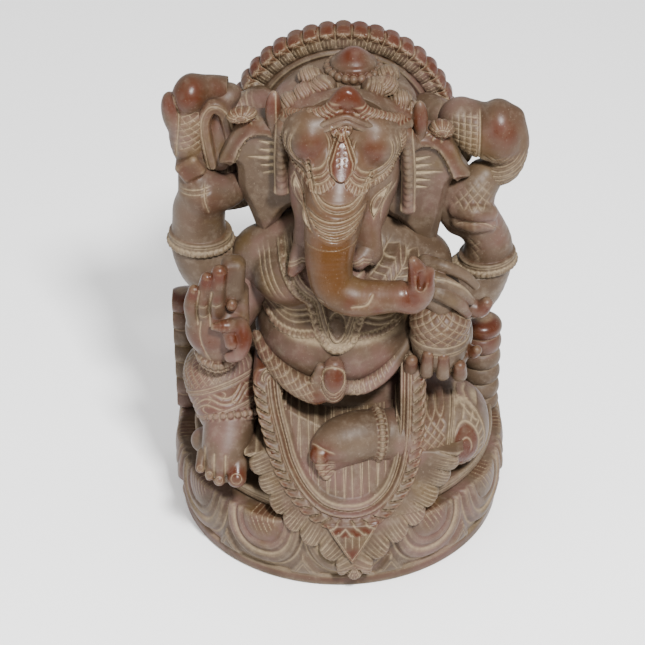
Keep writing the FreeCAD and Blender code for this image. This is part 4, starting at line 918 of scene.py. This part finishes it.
def left_hand(c):
    """The front left arm and the fingers under the bowl."""
    c.limb([(27, 8, 110, 9), (36, 5, 99, 9.4), (40.5, -2, 93, 8.6), (39.4, -9, 90.6, 7.2)], 0, 5)
    c.ball((37, -11.5, 89.0), (10.0, 8.6, 6.4), 2.0)
    for rows in ([(26.2, -13, 87.6, 2.9), (25.2, -17.8, 87.4, 2.8), (25.4, -20.4, 92.4, 2.4)],
                 [(31.4, -15, 85.0, 2.8), (31.0, -20.2, 87.8, 2.8), (31.6, -21.8, 96.4, 2.3)],
                 [(37.2, -15.4, 84.6, 2.8), (37.2, -20.8, 87.2, 2.8), (37.0, -22.0, 95.6, 2.4)],
                 [(42.8, -14, 83.6, 2.8), (43.6, -18.8, 84.8, 2.8), (43.4, -20.4, 90.0, 2.4)],
                 [(45.0, -8, 90.0, 2.8), (48.2, -12.0, 90.4, 2.6), (50.0, -13.6, 92.4, 2.0)]):
        c.limb(rows, 0.7)
        c.rub(rows[-1][:3], 4.0, 1.0)
    for x in (28.4, 34.2, 40.2):
        c.groove(c.line([(x, 83), (x, 90), (x, 96)], 3)[0], 0.4, 0.5, step(-14, -17, c.y))


def sash_folds(c):
    """Ends of the sash that fall over the bowl, and the stub of its knot."""
    rolls = [[(29, -14, 126, 3.4), (36, -17, 125.6, 2.8), (43, -16, 120.6, 2.4), (46.6, -14, 115.4, 1.9)],
             [(30, -16, 122.6, 3.2), (36, -19, 121.4, 2.8), (42.4, -18.4, 116.4, 2.5),
              (45.4, -16.6, 111.6, 2.0)],
             [(30, -10, 129.4, 3.2), (37, -13, 129.4, 2.6), (44, -12.4, 125.4, 2.2), (48.6, -11, 120, 1.7)]]
    for rows in rolls:
        c.limb(rows, 0.8)
    c.limb([(24, -6, 120, 5.5), (31, -9, 121, 6.0), (38, -9, 118, 5.2)], 2.5)
    c.limb([(33, -14, 117, 4.4), (36, -15.4, 113.6, 4.2)], 1.4, 1)
    c.limb([(46, -10, 110.4, 3.6), (50.4, -11, 109.4, 3.4), (53.0, -11.6, 112.4, 2.5)], 1.4)
    c.groove(c.line([(30, 127.8), (37, 127.2), (44, 122.6), (48, 117)], 3)[0], 0.3, 0.4, step(-6, -9, c.y))
    c.rub((46, -17, 112), 4.0, 0.8)
    c.rub((53, -13, 110), 4.6, 1.1)


def bowl(c):
    """The netted dome of sweets in its bowl."""
    c.ball((36, -12.6, 105.2), (11.6, 11.4, 9.6))
    c.limb([(36, -12.6, 95.0, 10.6), (36, -12.6, 98.0, 11.4)], 1.0, 1)
    turn = np.arctan2(c.x - 36, -(c.y + 12.6))
    dome = step(100.2, 101.4, c.z)
    c.hatch(turn * 9.4, (c.z - 100) * 1.15, 4.2, dome, 0.28, 0.42)
    for z in (96.2, 97.6, 100.2):
        c.groove(c.z - z, 0.32, 0.5)
    c.worn = np.maximum(c.worn, 0.35 * dome)


# ---------------------------------------------------------------- legs
def right_leg(c):
    """The raised right leg, with its patterned cloth."""
    c.limb([(-20, 8, 55, 16), (-36, 1, 66, 14.4), (-46, -3, 74, 13.0)], 0)
    c.ball((-47.4, -4.6, 75.4), (13.6, 13.6, 13.4), 3)
    c.limb([(-47.6, -5.0, 75, 13.0), (-45.6, -10, 68, 12.6), (-43.6, -14.6, 61.4, 10.4)], 3)
    h = (c.x + 47.5) * 0.34 - (c.y + 6) * 0.34 - (c.z - 75) * 0.876
    turn = np.arctan2(c.x + 46, -(c.y + 8))
    front = step(-1, -6, c.y)
    c.hatch(turn * 13, h, 3.0, front * step(0.0, -0.8, h) * step(0.15, 0.0, turn), 0.26, 0.36)
    c.groove(nearest(turn * 13 + h, 3.4), 0.24, 0.28, front * step(0.0, -0.8, h) * step(0.0, 0.2, turn))
    for at in (0.6, 2.0, 10.6, 12.0):
        c.groove(h - at, 0.3, 0.48, front)
    c.ridge(h - 1.3, 0.6, 0.4, front)
    c.ridge(h - 11.3, 0.6, 0.4, front)
    leafy = front * step(2.6, 3.4, h) * step(10.2, 9.4, h)
    swirl = 2.2 * np.sin(turn * 4.2 + 0.6)
    for off in (-2.2, 0.0, 2.2):
        c.groove((h - 6.4 - swirl - off) * 0.7, 0.28, 0.42, leafy)
    c.groove(nearest(turn * 13 + 1.6 * np.sin(h), 5.6) * 0.8, 0.26, 0.3,
             leafy * step(0.2, 0.8, np.abs(swirl) / 2.3))
    c.worn = np.maximum(c.worn, 0.5 * leafy)
    c.rub((-56, -12, 79), 6.0, 0.8)


def right_foot(c):
    """The right foot and its anklet."""
    c.limb([(-43.4, -13, 62, 9.8), (-43.8, -18, 60, 9.8), (-44.8, -25, 55.6, 9.0),
            (-45.8, -29.4, 53.2, 7.0)], 0, 5)
    c.limb([(-44.8, -15, 50, 10.0), (-44.8, -23, 47.6, 9.0)], 3, 1)
    c.limb([(-54, -14, 50, 5), (-44, -18, 46, 7), (-32, -13, 46, 6)], 3)
    c.string(hoop((-43.4, -14.4, 63.2), (0.1, -0.55, -0.85), 10.4), 1.6, 2.7, flat=1.15)
    for off in (-2.1, 2.1):
        d = c.line(hoop((-43.4 - 0.1 * off, -14.4 + 0.55 * off, 63.2 + 0.85 * off), (0.1, -0.55, -0.85),
                        10.0), 4, 1, False)[0]
        c.f = smin(c.f, d - 0.8, 0.3)
    toes = [((-53.4, -27.0, 53.6, 2.4), (-54.2, -31.6, 50.4, 2.1)),
            ((-50.0, -29.8, 52.6, 2.6), (-50.8, -34.0, 49.0, 2.3)),
            ((-46.4, -31.4, 51.8, 2.7), (-47.0, -35.6, 47.8, 2.4)),
            ((-40.4, -31.0, 52.6, 3.8), (-40.4, -35.6, 48.6, 3.7))]
    for a, b in toes:
        c.limb([a, b], 0.7, 1)
        c.rub((b[0], b[1] - 2, b[2]), 3.4, 1.0)
        nail = np.sqrt((c.x - b[0]) ** 2 + (c.y - b[1] + b[3] * 0.8) ** 2 + (c.z - b[2] - b[3] * 0.5) ** 2)
        c.groove(nail - b[3] * 0.55, 0.2, 0.2)
    c.rub((-40.6, -38, 51), 4.8, 1.3)
    for x in (-52.2, -48.6, -44.4):
        d = c.line([(x, 58.0), (x - 0.2, 53), (x - 0.3, 48)], 3)[0]
        c.groove(d, 0.5, 0.6, step(-24, -27, c.y))


def left_leg(c):
    """The folded left leg, with the netted panel and the knee cap."""
    c.limb([(10, 7, 54, 15), (27, 3, 54, 16.0), (41, -3, 53.4, 15.2)], 0)
    c.ball((43.6, -7.0, 53.0), (11.4, 15.0, 15.0), 3)
    c.limb([(41, -11, 53.4, 14.6), (27, -19, 56.0, 12.6), (13.5, -24, 60.4, 9.4)], 3)
    front = step(-4, -9, c.y)
    turn = c.z - 54
    panel = front * step(27.0, 28.0, c.x) * step(38.8, 38.0, c.x)
    c.hatch(c.x, turn, 3.5, panel, 0.28, 0.36)
    c.worn = np.maximum(c.worn, 0.35 * panel)
    for x in (26.6, 39.6, 41.2):
        c.groove(c.x - x - 0.008 * turn ** 2 + 0.3, 0.3, 0.48, front)
    c.ridge(c.x - 40.2 - 0.008 * turn ** 2, 0.6, 0.4, front)
    knee = np.hypot((c.x - 46.6 + 0.012 * turn ** 2) / 5.2, (c.z - 54) / 9.6)
    cap = front * step(41.6, 42.6, c.x)
    c.groove((knee - 1.0) * 5, 0.27, 0.4, cap)
    c.groove((knee - 1.45) * 5, 0.25, 0.34, cap)
    rays = np.arctan2(c.z - 52, c.x - 42)
    c.groove(nearest(rays, 0.26) * 6, 0.22, 0.3, cap * step(1.02, 1.1, knee) * step(1.42, 1.36, knee))
    c.groove((knee - 0.45) * 5, 0.25, 0.3, cap * step(50, 54, c.z))
    c.worn = np.maximum(c.worn, 1.2 * cap * step(1.05, 0.8, knee))
    for k in range(4):
        d = c.line([(26, 69 + 1.7 * k), (36, 70.5 + 1.4 * k), (44, 68 + 1.5 * k), (51, 62 + 1.6 * k)], 3)[0]
        c.groove(d, 0.28, 0.36, step(2, -4, c.y))


def left_foot(c):
    """The left foot and its anklet."""
    c.limb([(15, -23.5, 61, 8.8), (6.4, -26.6, 62.2, 9.6), (-1.2, -29, 61.8, 8.8), (-6.0, -30.4, 60, 6.6)],
           0, 5)
    c.limb([(2, -25.4, 56, 8.0), (-4, -28.6, 54.4, 6.4)], 3, 1)
    c.string(hoop((12.4, -24.4, 61.2), (1, 0.22, -0.1), 9.6), 1.5, 2.2, flat=1.1)
    for off in (-1.9, 1.9):
        d = c.line(hoop((12.4 + off, -24.4 + 0.22 * off, 61.2), (1, 0.22, -0.1), 9.3), 4, 1, False)[0]
        c.f = smin(c.f, d - 0.7, 0.3)
    toes = [((-6.2, -31.4, 60.8, 4.0), (-8.8, -34.6, 59.2, 4.0)),
            ((-6.2, -32.4, 56.2, 2.6), (-8.6, -35.8, 54.8, 2.3)),
            ((-5.6, -32.4, 53.2, 2.4), (-7.8, -35.6, 51.8, 2.1)),
            ((-4.8, -32.0, 50.4, 2.2), (-6.6, -35.0, 49.2, 1.9)),
            ((-3.8, -31.4, 48.0, 2.0), (-5.2, -34.0, 47.0, 1.7))]
    for a, b in toes:
        c.limb([a, b], 0.6, 1)
        d = np.hypot(c.y - b[1], c.z - b[2]) - b[3]
        c.groove(d, 0.3, 0.35, step(-2.4, -4.0, c.x) * step(-31, -33, c.y))
    c.rub((-9.2, -37.4, 60.4), 5.2, 1.5)
    c.rub((-8.6, -38, 53), 3.8, 0.9)


# ---------------------------------------------------------------- the cloth in front
U_BAND = [(-27.6, 84), (-26.4, 75), (-24.0, 65), (-21.0, 54.5), (-16.0, 45.4), (-8.6, 38.6), (1.0, 36.2),
          (10.4, 37.6), (17.6, 43), (21.6, 51), (23.6, 61), (24.2, 72), (24.4, 90)]
FRILL = [(-40, 62), (-37.0, 54), (-32.6, 44), (-28.4, 36.4), (-23.6, 30.6), (-16.6, 25.2),
         (-9.6, 20.6), (-3.8, 14.6), (-1.4, 9.4), (4.2, 7.2), (9.8, 9.4), (12.2, 14.4), (18.2, 20.6),
         (25, 25.6), (31.6, 30.6), (36.6, 37), (42.4, 46.6), (45, 56)]


def cloth_depth(c):
    """Depth of the cloth's front face at each height: down the lap, then down the front of the lotus."""
    deep = np.interp(c.z, [6, 14, 22, 29, 34, 40, 46, 54, 62, 70, 80, 92],
                     [-45.2, -46.4, -45.6, -43.8, -41.8, -39.6, -36.8, -32.6, -28.6, -26.0, -22,
                      -14]).astype(np.float32)
    r = CENTRE_Y - deep
    wrap = CENTRE_Y - np.sqrt(np.maximum(r * r - c.x ** 2, 1))
    return np.where(c.z < 34, wrap, deep + (wrap - deep) * step(60, 34, c.z) * 0.9)


def lap(c):
    """The striped panel, its U-shaped border, the leafy edge and the pendant at its foot."""
    d, s, side, run = c.line(U_BAND, 40)
    inner = d * side
    depth = cloth_depth(c)
    sunk = 3.4 * step(2.6, 5.0, inner)
    raised = 2.4 + 0.7 * np.cos(np.clip(inner, -2.4, 2.4) * 2.2) - sunk
    body = smax((depth - raised - c.y) * 0.86, -(inner + 2.4), 1.2)
    body = smax(body, np.where(inner > 3.9, c.z - 66 - 0.5 * np.maximum(-8 - c.x, 0), -20), 0.4)
    c.f = smax(smax(body, c.z - 93, 1), c.y - 4, 1)
    c.groove(inner - 1.4, 0.3, 0.55)
    c.groove(inner + 0.9, 0.3, 0.45)
    c.groove(inner - 3.4, 0.34, 0.3)
    panel = step(4.2, 5.2, inner)
    c.groove(nearest(c.x + 0.03 * (c.z - 50), 3.2), 0.26, 0.4, panel)
    c.groove(nearest(c.x + 1.1 - 0.04 * c.z, 6.2), 0.22, 0.28, panel)
    n = run / round(run / 3.7)
    lean = nearest(np.abs(s - along(U_BAND, 6)) - 0.8 * np.abs(inner + 2.2), n) / n * 2
    crown = np.sqrt(np.clip(1 - lean * lean, 0, 1))
    leaf = smax((depth - 0.6 - 1.9 * crown * step(-7.5, -5.5, inner) - c.y) * 0.86,
                smax(-(inner + 6.8 - 1.5 * lean * lean), inner + 1.5, 0.6), 1.0)
    leaf = smax(smax(leaf, c.z - 88, 1), c.y, 1)
    c.f = smin(c.f, leaf, 0.3)
    fringe = step(-1.6, -2.4, inner) * step(-8, -7, inner)
    c.groove((np.abs(lean) - 1) * 1.8, 0.34, 0.6, fringe)
    c.worn = np.maximum(c.worn, 0.95 * fringe * step(0.9, 0.2, np.abs(lean)) * step(-3.0, -5.2, inner))
    c.worn = np.maximum(c.worn, 0.35 * step(1.2, 0.4, np.abs(np.abs(inner - 0.3) - 1.0)))
    point = np.maximum(np.abs(c.x - 3.4) / 5.4 + (25.5 - c.z) / 8.5, 0)
    tip = smax(smax((depth - 3.2 - c.y) * 0.9, (point - 1) * 4.2, 0.8), np.abs(c.z - 25) - 8, 0.6)
    tip = smax(tip, c.y + 30, 1)
    c.f = smin(c.f, tip, 0.4)
    c.groove(nearest(c.x - 3.4, 2.6), 0.26, 0.35,
             step(0.8, 0.6, point) * step(30, 28, c.z) * step(23, 25, c.z))
    c.groove((point - 0.8) * 5, 0.26, 0.35, step(33, 31, c.z) * step(-40, -44, c.y))
    c.rub((3.4, -49, 20), 4.6, 1.2)


def frill(c):
    """The scalloped, gathered edge that hangs over the lotus."""
    d, s, side, run = c.line(FRILL, 60)
    inner = d * side
    n = run / round(run / 8.6)
    t = nearest(s - along(FRILL, 9), n) / n * 2
    depth = cloth_depth(c)
    wave = 1.5 * np.sqrt(np.clip(1 - 0.94 * t * t, 0, 1))
    edge = inner - 1.9 * t * t
    drape = depth - 0.9 - wave * step(12, 2, inner)
    face = (drape - c.y) * 0.85
    d, _, side, _ = c.line(U_BAND, 30)
    face = face + 9 * step(-2.0, 1.0, np.where(c.z > 84, -9.0, d * side))
    c.f = smax(smax(face, -edge, 1.6), c.y + 12, 1)
    c.f = smax(c.f, c.z - 58, 1)
    gather = step(13, 3, inner)
    c.groove((np.abs(t) - 1) * 3.4, 0.4, 0.8, gather)
    c.groove(nearest(t * 3.6, 1.2), 0.2, 0.26, gather * step(0.9, 0.8, np.abs(t)))
    c.worn = np.maximum(c.worn, 0.6 * step(2.6, 0.2, inner) * step(1, 0.3, np.abs(t)))


# ---------------------------------------------------------------- from fields to meshes
def mesh_of(build, low, high, size):
    """Samples a field where its surface runs, finer and finer, and returns the surface it encloses."""
    low, high = np.array(low, float) - 1.5, np.array(high, float) + 1.5
    steps = 3
    cell = size * 2 ** steps
    count = np.maximum(2, np.ceil((high - low) / cell).astype(int))
    grid = None
    for level in range(steps + 1):
        h = cell / 2 ** level
        if grid is None:
            grid = np.zeros(count, np.float32)
            todo = np.ones(count, bool)
        else:
            todo = np.abs(grid) < 1.25 * h * 2
            for axis in range(3):
                grid = grid.repeat(2, axis)
                todo = todo.repeat(2, axis)
        index = np.nonzero(todo)
        points = [((i + 0.5) * h + o).astype(np.float32) for i, o in zip(index, low)]
        for start in range(0, len(points[0]), 400000):
            part = slice(start, start + 400000)
            c = Clay(*[p[part] for p in points])
            build(c)
            grid[tuple(i[part] for i in index)] = c.f
    np.clip(grid, -3 * size, 3 * size, out=grid)
    grid[0], grid[-1] = 3 * size, 3 * size
    grid[:, 0], grid[:, -1] = 3 * size, 3 * size
    grid[:, :, 0], grid[:, :, -1] = 3 * size, 3 * size
    field = openvdb.FloatGrid(3 * size)
    field.copyFromArray(np.ascontiguousarray(grid))
    points, quads = field.convertToQuads(0.0)
    points = (points + 0.5) * size + low
    return points, quads[:, ::-1]


def normals_of(points, quads):
    """Outward directions at the vertices."""
    a = points[quads[:, 2]] - points[quads[:, 0]]
    b = points[quads[:, 3]] - points[quads[:, 1]]
    n = np.cross(a, b)
    out = np.zeros_like(points)
    for axis in range(3):
        for corner in range(4):
            out[:, axis] += np.bincount(quads[:, corner], n[:, axis], len(points))
    return out / np.maximum(np.linalg.norm(out, axis=1, keepdims=True), 1e-9)


def spread(values, edges, count, rounds):
    """Averages values over each vertex's neighbours, again and again."""
    share = np.bincount(edges[:, 0], minlength=count) + np.bincount(edges[:, 1], minlength=count)
    share = np.maximum(share, 1)
    for _ in range(rounds):
        if values.ndim == 1:
            total = (np.bincount(edges[:, 0], values[edges[:, 1]], count)
                     + np.bincount(edges[:, 1], values[edges[:, 0]], count))
            values = 0.5 * values + 0.5 * total / share
        else:
            values = np.stack([spread(v, edges, count, 1) for v in values.T], 1)
    return values


def carve(job):
    """Makes one mesh, moves it onto the exact surface, and measures how hollow each point is."""
    name, build, low, high, scale, _ = job
    size = FINE * scale
    points, quads = mesh_of(build, low, high, size)
    normals = normals_of(points, quads)
    c = Clay(*[v.astype(np.float32) for v in points.T])
    build(c)
    points = points - normals * np.clip(c.f, -0.5 * size, 0.5 * size)[:, None] * 0.8
    edges = np.vstack([quads[:, [0, 1]], quads[:, [1, 2]]])
    count = len(points)
    normals = normals_of(points, quads)
    fine = spread(points, edges, count, 5)
    wide = spread(fine, edges, count, 16)
    hollow_fine = np.einsum("ij,ij->i", fine - points, normals)
    hollow_wide = np.einsum("ij,ij->i", wide - points, normals)
    return name, points, quads, c.dust, c.worn, c.amber, hollow_fine, hollow_wide


# Name, builder, lowest and highest corner of the field, mesh size as a multiple of FINE, and CAD nodes
JOBS = [
    ("lotus_base", lotus, (-68, -47, -0.5), (68, 45.6, 30.5), 1.45, ["base_plinth", "lotus_pedestal"]),
    ("seat", seat, (-61, -39, 29.5), (61, 45.6, 36.6), 1.8, ["seat_cushion"]),
    ("back_slab", backrest, (-49, 26, 35), (49, 45.6, 124.5), 1.8, ["backrest"]),
    ("right_post", lambda c: post(c, POST_R, 7), POST_R[0] - 1, POST_R[1] + (6, 4, 1), 1.3,
     ["right_bolster"]),
    ("left_post", lambda c: post(c, POST_L, 6), POST_L[0] - (6, 1, 1), POST_L[1] + (1, 4, 1), 1.3,
     ["left_bolster"]),
    ("halo", halo, (-46, 34, 110), (46, 45.6, 203), 1.15, ["halo_disc", "halo_rim"]),
    ("right_scarf", lambda c: scarf(c, -1), (-50, 10, 128), (-20, 44, 184), 1.3, ["right_scarf_fold"]),
    ("left_scarf", lambda c: scarf(c, 1), (20, 10, 134), (52, 44, 180), 1.3, ["left_scarf_fold"]),
    ("head", head, (-23, -40, 122), (23, 26, 190), 1.0, ["head", "jewel_drop"]),
    ("trunk", trunk, (-17, -43, 121), (34, -14, 151), 1.0, ["trunk"]),
    ("tusks", tusks, (-22, -24, 126), (15, -2, 149), 1.0, ["right_tusk", "left_tusk"]),
    ("right_ear", lambda c: ear(c, -1), (-47, -4, 122), (-12, 17, 187), 1.1, ["right_ear"]),
    ("left_ear", lambda c: ear(c, 1), (12, -4, 113), (49, 17, 182), 1.1, ["left_ear"]),
    ("hair", hair, (-29, -1, 162), (31, 37, 202), 1.0, ["hair_locks"]),
    ("topknot", topknot, (-10, 5, 178), (17, 28, 203), 1.0, ["topknot"]),
    ("diadem", diadem, (-25, -14, 177), (26, 8, 200), 1.0, ["diadem"]),
    ("right_tassel", lambda c: tassels(c, -1), (-30, -6, 151), (-17, 8, 196), 1.0,
     ["right_tassel", "right_ear_tag"]),
    ("left_tassel", lambda c: tassels(c, 1), (18, -6, 143), (32, 9, 191), 1.0,
     ["left_tassel", "left_ear_tag"]),
    ("torso", torso, (-44, -28, 33), (43, 33, 144), 1.2, ["torso", "necklace"]),
    ("belt_serpent", belt, (-35, -36, 72), (30, -2, 97), 1.0, ["belt_serpent"]),
    ("right_rear_arm", right_rear, (-67, 0, 94), (-16, 28, 165), 1.2,
     ["right_rear_arm", "right_rear_hand", "right_armlet"]),
    ("goad", goad, (-69, 3, 151), (-45, 26, 196), 1.1, ["goad"]),
    ("goad_hook", hook, (-54, 6, 151), (-31, 26, 192), 1.1, ["goad_hook"]),
    ("left_rear_arm", left_rear, (14, 0, 88), (67, 28, 160), 1.2,
     ["left_rear_arm", "left_rear_hand", "left_armlet"]),
    ("conch", conch, (33, 2, 144), (70, 29, 186), 1.1, ["conch"]),
    ("right_hand", right_hand, (-59, -29, 80), (-19, 18, 138), 1.1,
     ["right_front_arm", "right_front_hand", "right_bracelet"]),
    ("left_hand", left_hand, (16, -27, 76), (55, 18, 121), 1.1, ["left_front_arm", "left_front_hand"]),
    ("sash_folds", sash_folds, (17, -24, 105), (57, 0, 134), 1.1, ["left_arm_folds"]),
    ("sweets_bowl", bowl, (23, -26, 83), (49, 0, 116), 1.0, ["sweets_bowl"]),
    ("right_leg", right_leg, (-63, -30, 35), (-2, 25, 89), 1.15, ["right_leg"]),
    ("right_foot", right_foot, (-60, -43, 34), (-31, -3, 70), 1.1, ["right_foot", "right_anklet"]),
    ("left_leg", left_leg, (-6, -37, 34), (60, 24, 70), 1.15, ["left_leg"]),
    ("left_foot", left_foot, (-16, -42, 40), (26, -15, 73), 1.1, ["left_foot", "left_anklet"]),
    ("lap_cloth", lap, (-38, -51, 14), (36, 5, 94), 1.15, ["lap_cloth", "lap_band"]),
    ("frill", frill, (-44, -50, 5), (47, -12, 57), 1.15, ["cloth_frill"]),
]
SLOTS = {"trunk": "rubbed_stone"}


# ---------------------------------------------------------------- materials
def socket(nodes, kind, **values):
    node = nodes.new(kind)
    for key, value in values.items():
        if hasattr(node, key):
            setattr(node, key, value)
        else:
            node.inputs[key.replace("_", " ")].default_value = value
    return node


# Colours as linear red, green, blue
MAUVE = (0.092, 0.049, 0.041)  # clouds in the stone
OCHRE = (0.060, 0.036, 0.012)
CHALK = (0.165, 0.130, 0.096)
AMBER = (0.046, 0.0155, 0.0005)  # oiled stone on the trunk
RUSSET = (0.042, 0.0085, 0.0018)  # stone worn by touch
DUST = (0.225, 0.172, 0.106)  # powder left in the cuts
SPECKLE = (0.2, 0.16, 0.12)


def stone(name, base, dark, gloss):
    """Soft carved stone: mottled body, pale dust in the cuts, brown polish on the high spots."""
    mat = bpy.data.materials.new(name)
    mat.use_nodes = True
    nodes, links = mat.node_tree.nodes, mat.node_tree.links
    shader = nodes["Principled BSDF"]
    place = nodes.new("ShaderNodeTexCoord")

    def noise(scale, detail=4.0, rough=0.55):
        n = socket(nodes, "ShaderNodeTexNoise", Scale=scale, Detail=detail, Roughness=rough)
        links.new(place.outputs["Object"], n.inputs["Vector"])
        return n.outputs["Fac"]

    def ramp(value, low, high, to=(0.0, 1.0)):
        n = nodes.new("ShaderNodeMapRange")
        n.inputs["From Min"].default_value, n.inputs["From Max"].default_value = low, high
        n.inputs["To Min"].default_value, n.inputs["To Max"].default_value = to
        links.new(value, n.inputs["Value"])
        return n.outputs["Result"]

    def blend(factor, a, b, mode="MIX"):
        n = nodes.new("ShaderNodeMix")
        n.data_type, n.blend_type = "RGBA", mode
        links.new(factor, n.inputs["Factor"])
        for value, key in ((a, 6), (b, 7)):
            if isinstance(value, tuple):
                n.inputs[key].default_value = value + (1.0,)
            else:
                links.new(value, n.inputs[key])
        return n.outputs[2]

    def combine(op, a, b):
        n = nodes.new("ShaderNodeMath")
        n.operation, n.use_clamp = op, True
        for value, key in ((a, 0), (b, 1)):
            if isinstance(value, (int, float)):
                n.inputs[key].default_value = value
            else:
                links.new(value, n.inputs[key])
        return n.outputs[0]

    def painted(attribute):
        n = nodes.new("ShaderNodeAttribute")
        n.attribute_name = attribute
        return n.outputs["Fac"]

    body = blend(ramp(noise(45), 0.38, 0.62), base, dark)
    body = blend(ramp(noise(38, 3), 0.5, 0.66, (0, 0.75)), body, MAUVE)
    body = blend(ramp(noise(52, 3, 0.6), 0.56, 0.7, (0, 0.6)), body, OCHRE)
    body = blend(ramp(noise(260, 5, 0.7), 0.5, 0.75, (0, 0.35)), body, CHALK)
    worn = combine("MULTIPLY", painted("worn"), ramp(noise(150, 3), 0.3, 0.55, (0.45, 1.0)))
    gold = combine("MULTIPLY", painted("amber"), ramp(noise(60, 3), 0.3, 0.6, (0.75, 1.0)))
    body = blend(gold, body, AMBER)
    body = blend(worn, body, RUSSET)
    grain = ramp(noise(700, 4, 0.7), 0.35, 0.6, (0.55, 1.0))
    dust = combine("MULTIPLY", painted("dust"), grain)
    body = blend(dust, body, DUST)
    specks = ramp(noise(1400, 2), 0.66, 0.75, (0, 0.35))
    body = blend(specks, body, SPECKLE)
    links.new(body, shader.inputs["Base Color"])
    polish = combine("MULTIPLY", combine("ADD", worn, gold), 0.22)
    rough = combine("SUBTRACT", ramp(noise(90, 5), 0.3, 0.7, (gloss + 0.05, gloss + 0.2)), polish)
    rough = combine("ADD", rough, combine("MULTIPLY", dust, 0.35))
    links.new(rough, shader.inputs["Roughness"])
    bump = socket(nodes, "ShaderNodeBump", Strength=0.28, Distance=0.00025)
    pits, waves = combine("MULTIPLY", noise(900, 6, 0.7), 0.5), combine("MULTIPLY", noise(220, 4), 0.5)
    links.new(combine("ADD", pits, waves), bump.inputs["Height"])
    links.new(bump.outputs["Normal"], shader.inputs["Normal"])
    shader.inputs["Specular IOR Level"].default_value = 0.2
    return mat


def floor_paint():
    """Plain pale floor."""
    mat = bpy.data.materials.new("pale_floor")
    mat.use_nodes = True
    shader = mat.node_tree.nodes["Principled BSDF"]
    shader.inputs["Base Color"].default_value = (0.97, 0.97, 0.97, 1)
    shader.inputs["Roughness"].default_value = 0.75
    return mat


MATERIALS = {"carved_stone": stone("carved_stone", (0.066, 0.043, 0.027), (0.042, 0.025, 0.0138), 0.38),
             "rubbed_stone": stone("rubbed_stone", (0.058, 0.034, 0.017), (0.038, 0.021, 0.009), 0.37)}


def to_object(result, slot):
    """A Blender object from a carved mesh, with its wear stored as attributes."""
    name, points, quads, dust, worn, amber, fine, wide = result
    mesh = bpy.data.meshes.new(name)
    mesh.vertices.add(len(points))
    mesh.vertices.foreach_set("co", ((points + ORIGIN) / 1000).astype(np.float32).ravel())
    mesh.loops.add(quads.size)
    mesh.loops.foreach_set("vertex_index", quads.ravel().astype(np.int32))
    mesh.polygons.add(len(quads))
    mesh.polygons.foreach_set("loop_start", np.arange(0, quads.size, 4, dtype=np.int32))
    mesh.polygons.foreach_set("use_smooth", np.ones(len(quads), bool))
    mesh.update(calc_edges=True)
    size = FINE * 1.1
    cavity = (np.clip(fine / (0.26 * size) - 0.35, 0, 1) * 0.4
              + np.clip(wide / (1.2 * size) - 0.2, 0, 1) * 0.3)
    proud = np.clip(-wide / (1.1 * size) - 0.2, 0, 1)
    keep = 1 - 0.7 * np.clip(cavity, 0, 1)
    for key, values in (("dust", np.clip(0.85 * dust + cavity, 0, 1)),
                        ("amber", np.clip(amber, 0, 1) * keep),
                        ("worn", np.clip(worn + proud * 0.6, 0, 1) * keep)):
        layer = mesh.attributes.new(key, "FLOAT", "POINT")
        layer.data.foreach_set("value", values.astype(np.float32))
    thing = bpy.data.objects.new(name, mesh)
    bpy.context.collection.objects.link(thing)
    mesh.materials.append(MATERIALS[slot])
    return thing


with ThreadPoolExecutor(4) as pool:
    results = list(pool.map(carve, JOBS))
for job, result in zip(JOBS, results):
    slot = SLOTS.get(job[0], "carved_stone")
    piece = to_object(result, slot)
    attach(piece, "root")
    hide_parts(*job[5])

# ---------------------------------------------------------------- floor, light and camera
FLOOR_SIZE = 6
CAMERA_AT = (0, -0.65132, 0.55161)
LOOKING_DOWN = 35
AIM = (0, 0, 0.10)

bpy.ops.mesh.primitive_plane_add(size=FLOOR_SIZE, location=(0, 0, float(LOW[2]) / 1000))
floor = bpy.context.object
floor.name = "floor"
floor.data.materials.append(floor_paint())

world = bpy.data.worlds.new("studio")
bpy.context.scene.world = world
world.use_nodes = True
world.node_tree.nodes["Background"].inputs[0].default_value = (1, 1, 1, 1)
world.node_tree.nodes["Background"].inputs[1].default_value = 1.15


def area(name, place, aim, size, power):
    """A square lamp."""
    light = bpy.data.lights.new(name, "AREA")
    light.size, light.energy = size, power
    lamp = bpy.data.objects.new(name, light)
    lamp.location = place
    lamp.rotation_euler = (Vector(aim) - Vector(place)).to_track_quat("-Z", "Y").to_euler()
    bpy.context.collection.objects.link(lamp)


area("key", (0.20, -0.60, 0.86), AIM, 0.12, 25.0)
area("fill", (-0.7, -0.5, 0.35), AIM, 0.6, 2.6)

camera = bpy.data.objects.new("camera", bpy.data.cameras.new("camera"))
bpy.context.collection.objects.link(camera)
camera.location = CAMERA_AT
camera.rotation_euler = (math.radians(90 - LOOKING_DOWN), 0, 0)
camera.data.lens = 116.9
camera.data.shift_x = -0.0326
bpy.context.scene.camera = camera
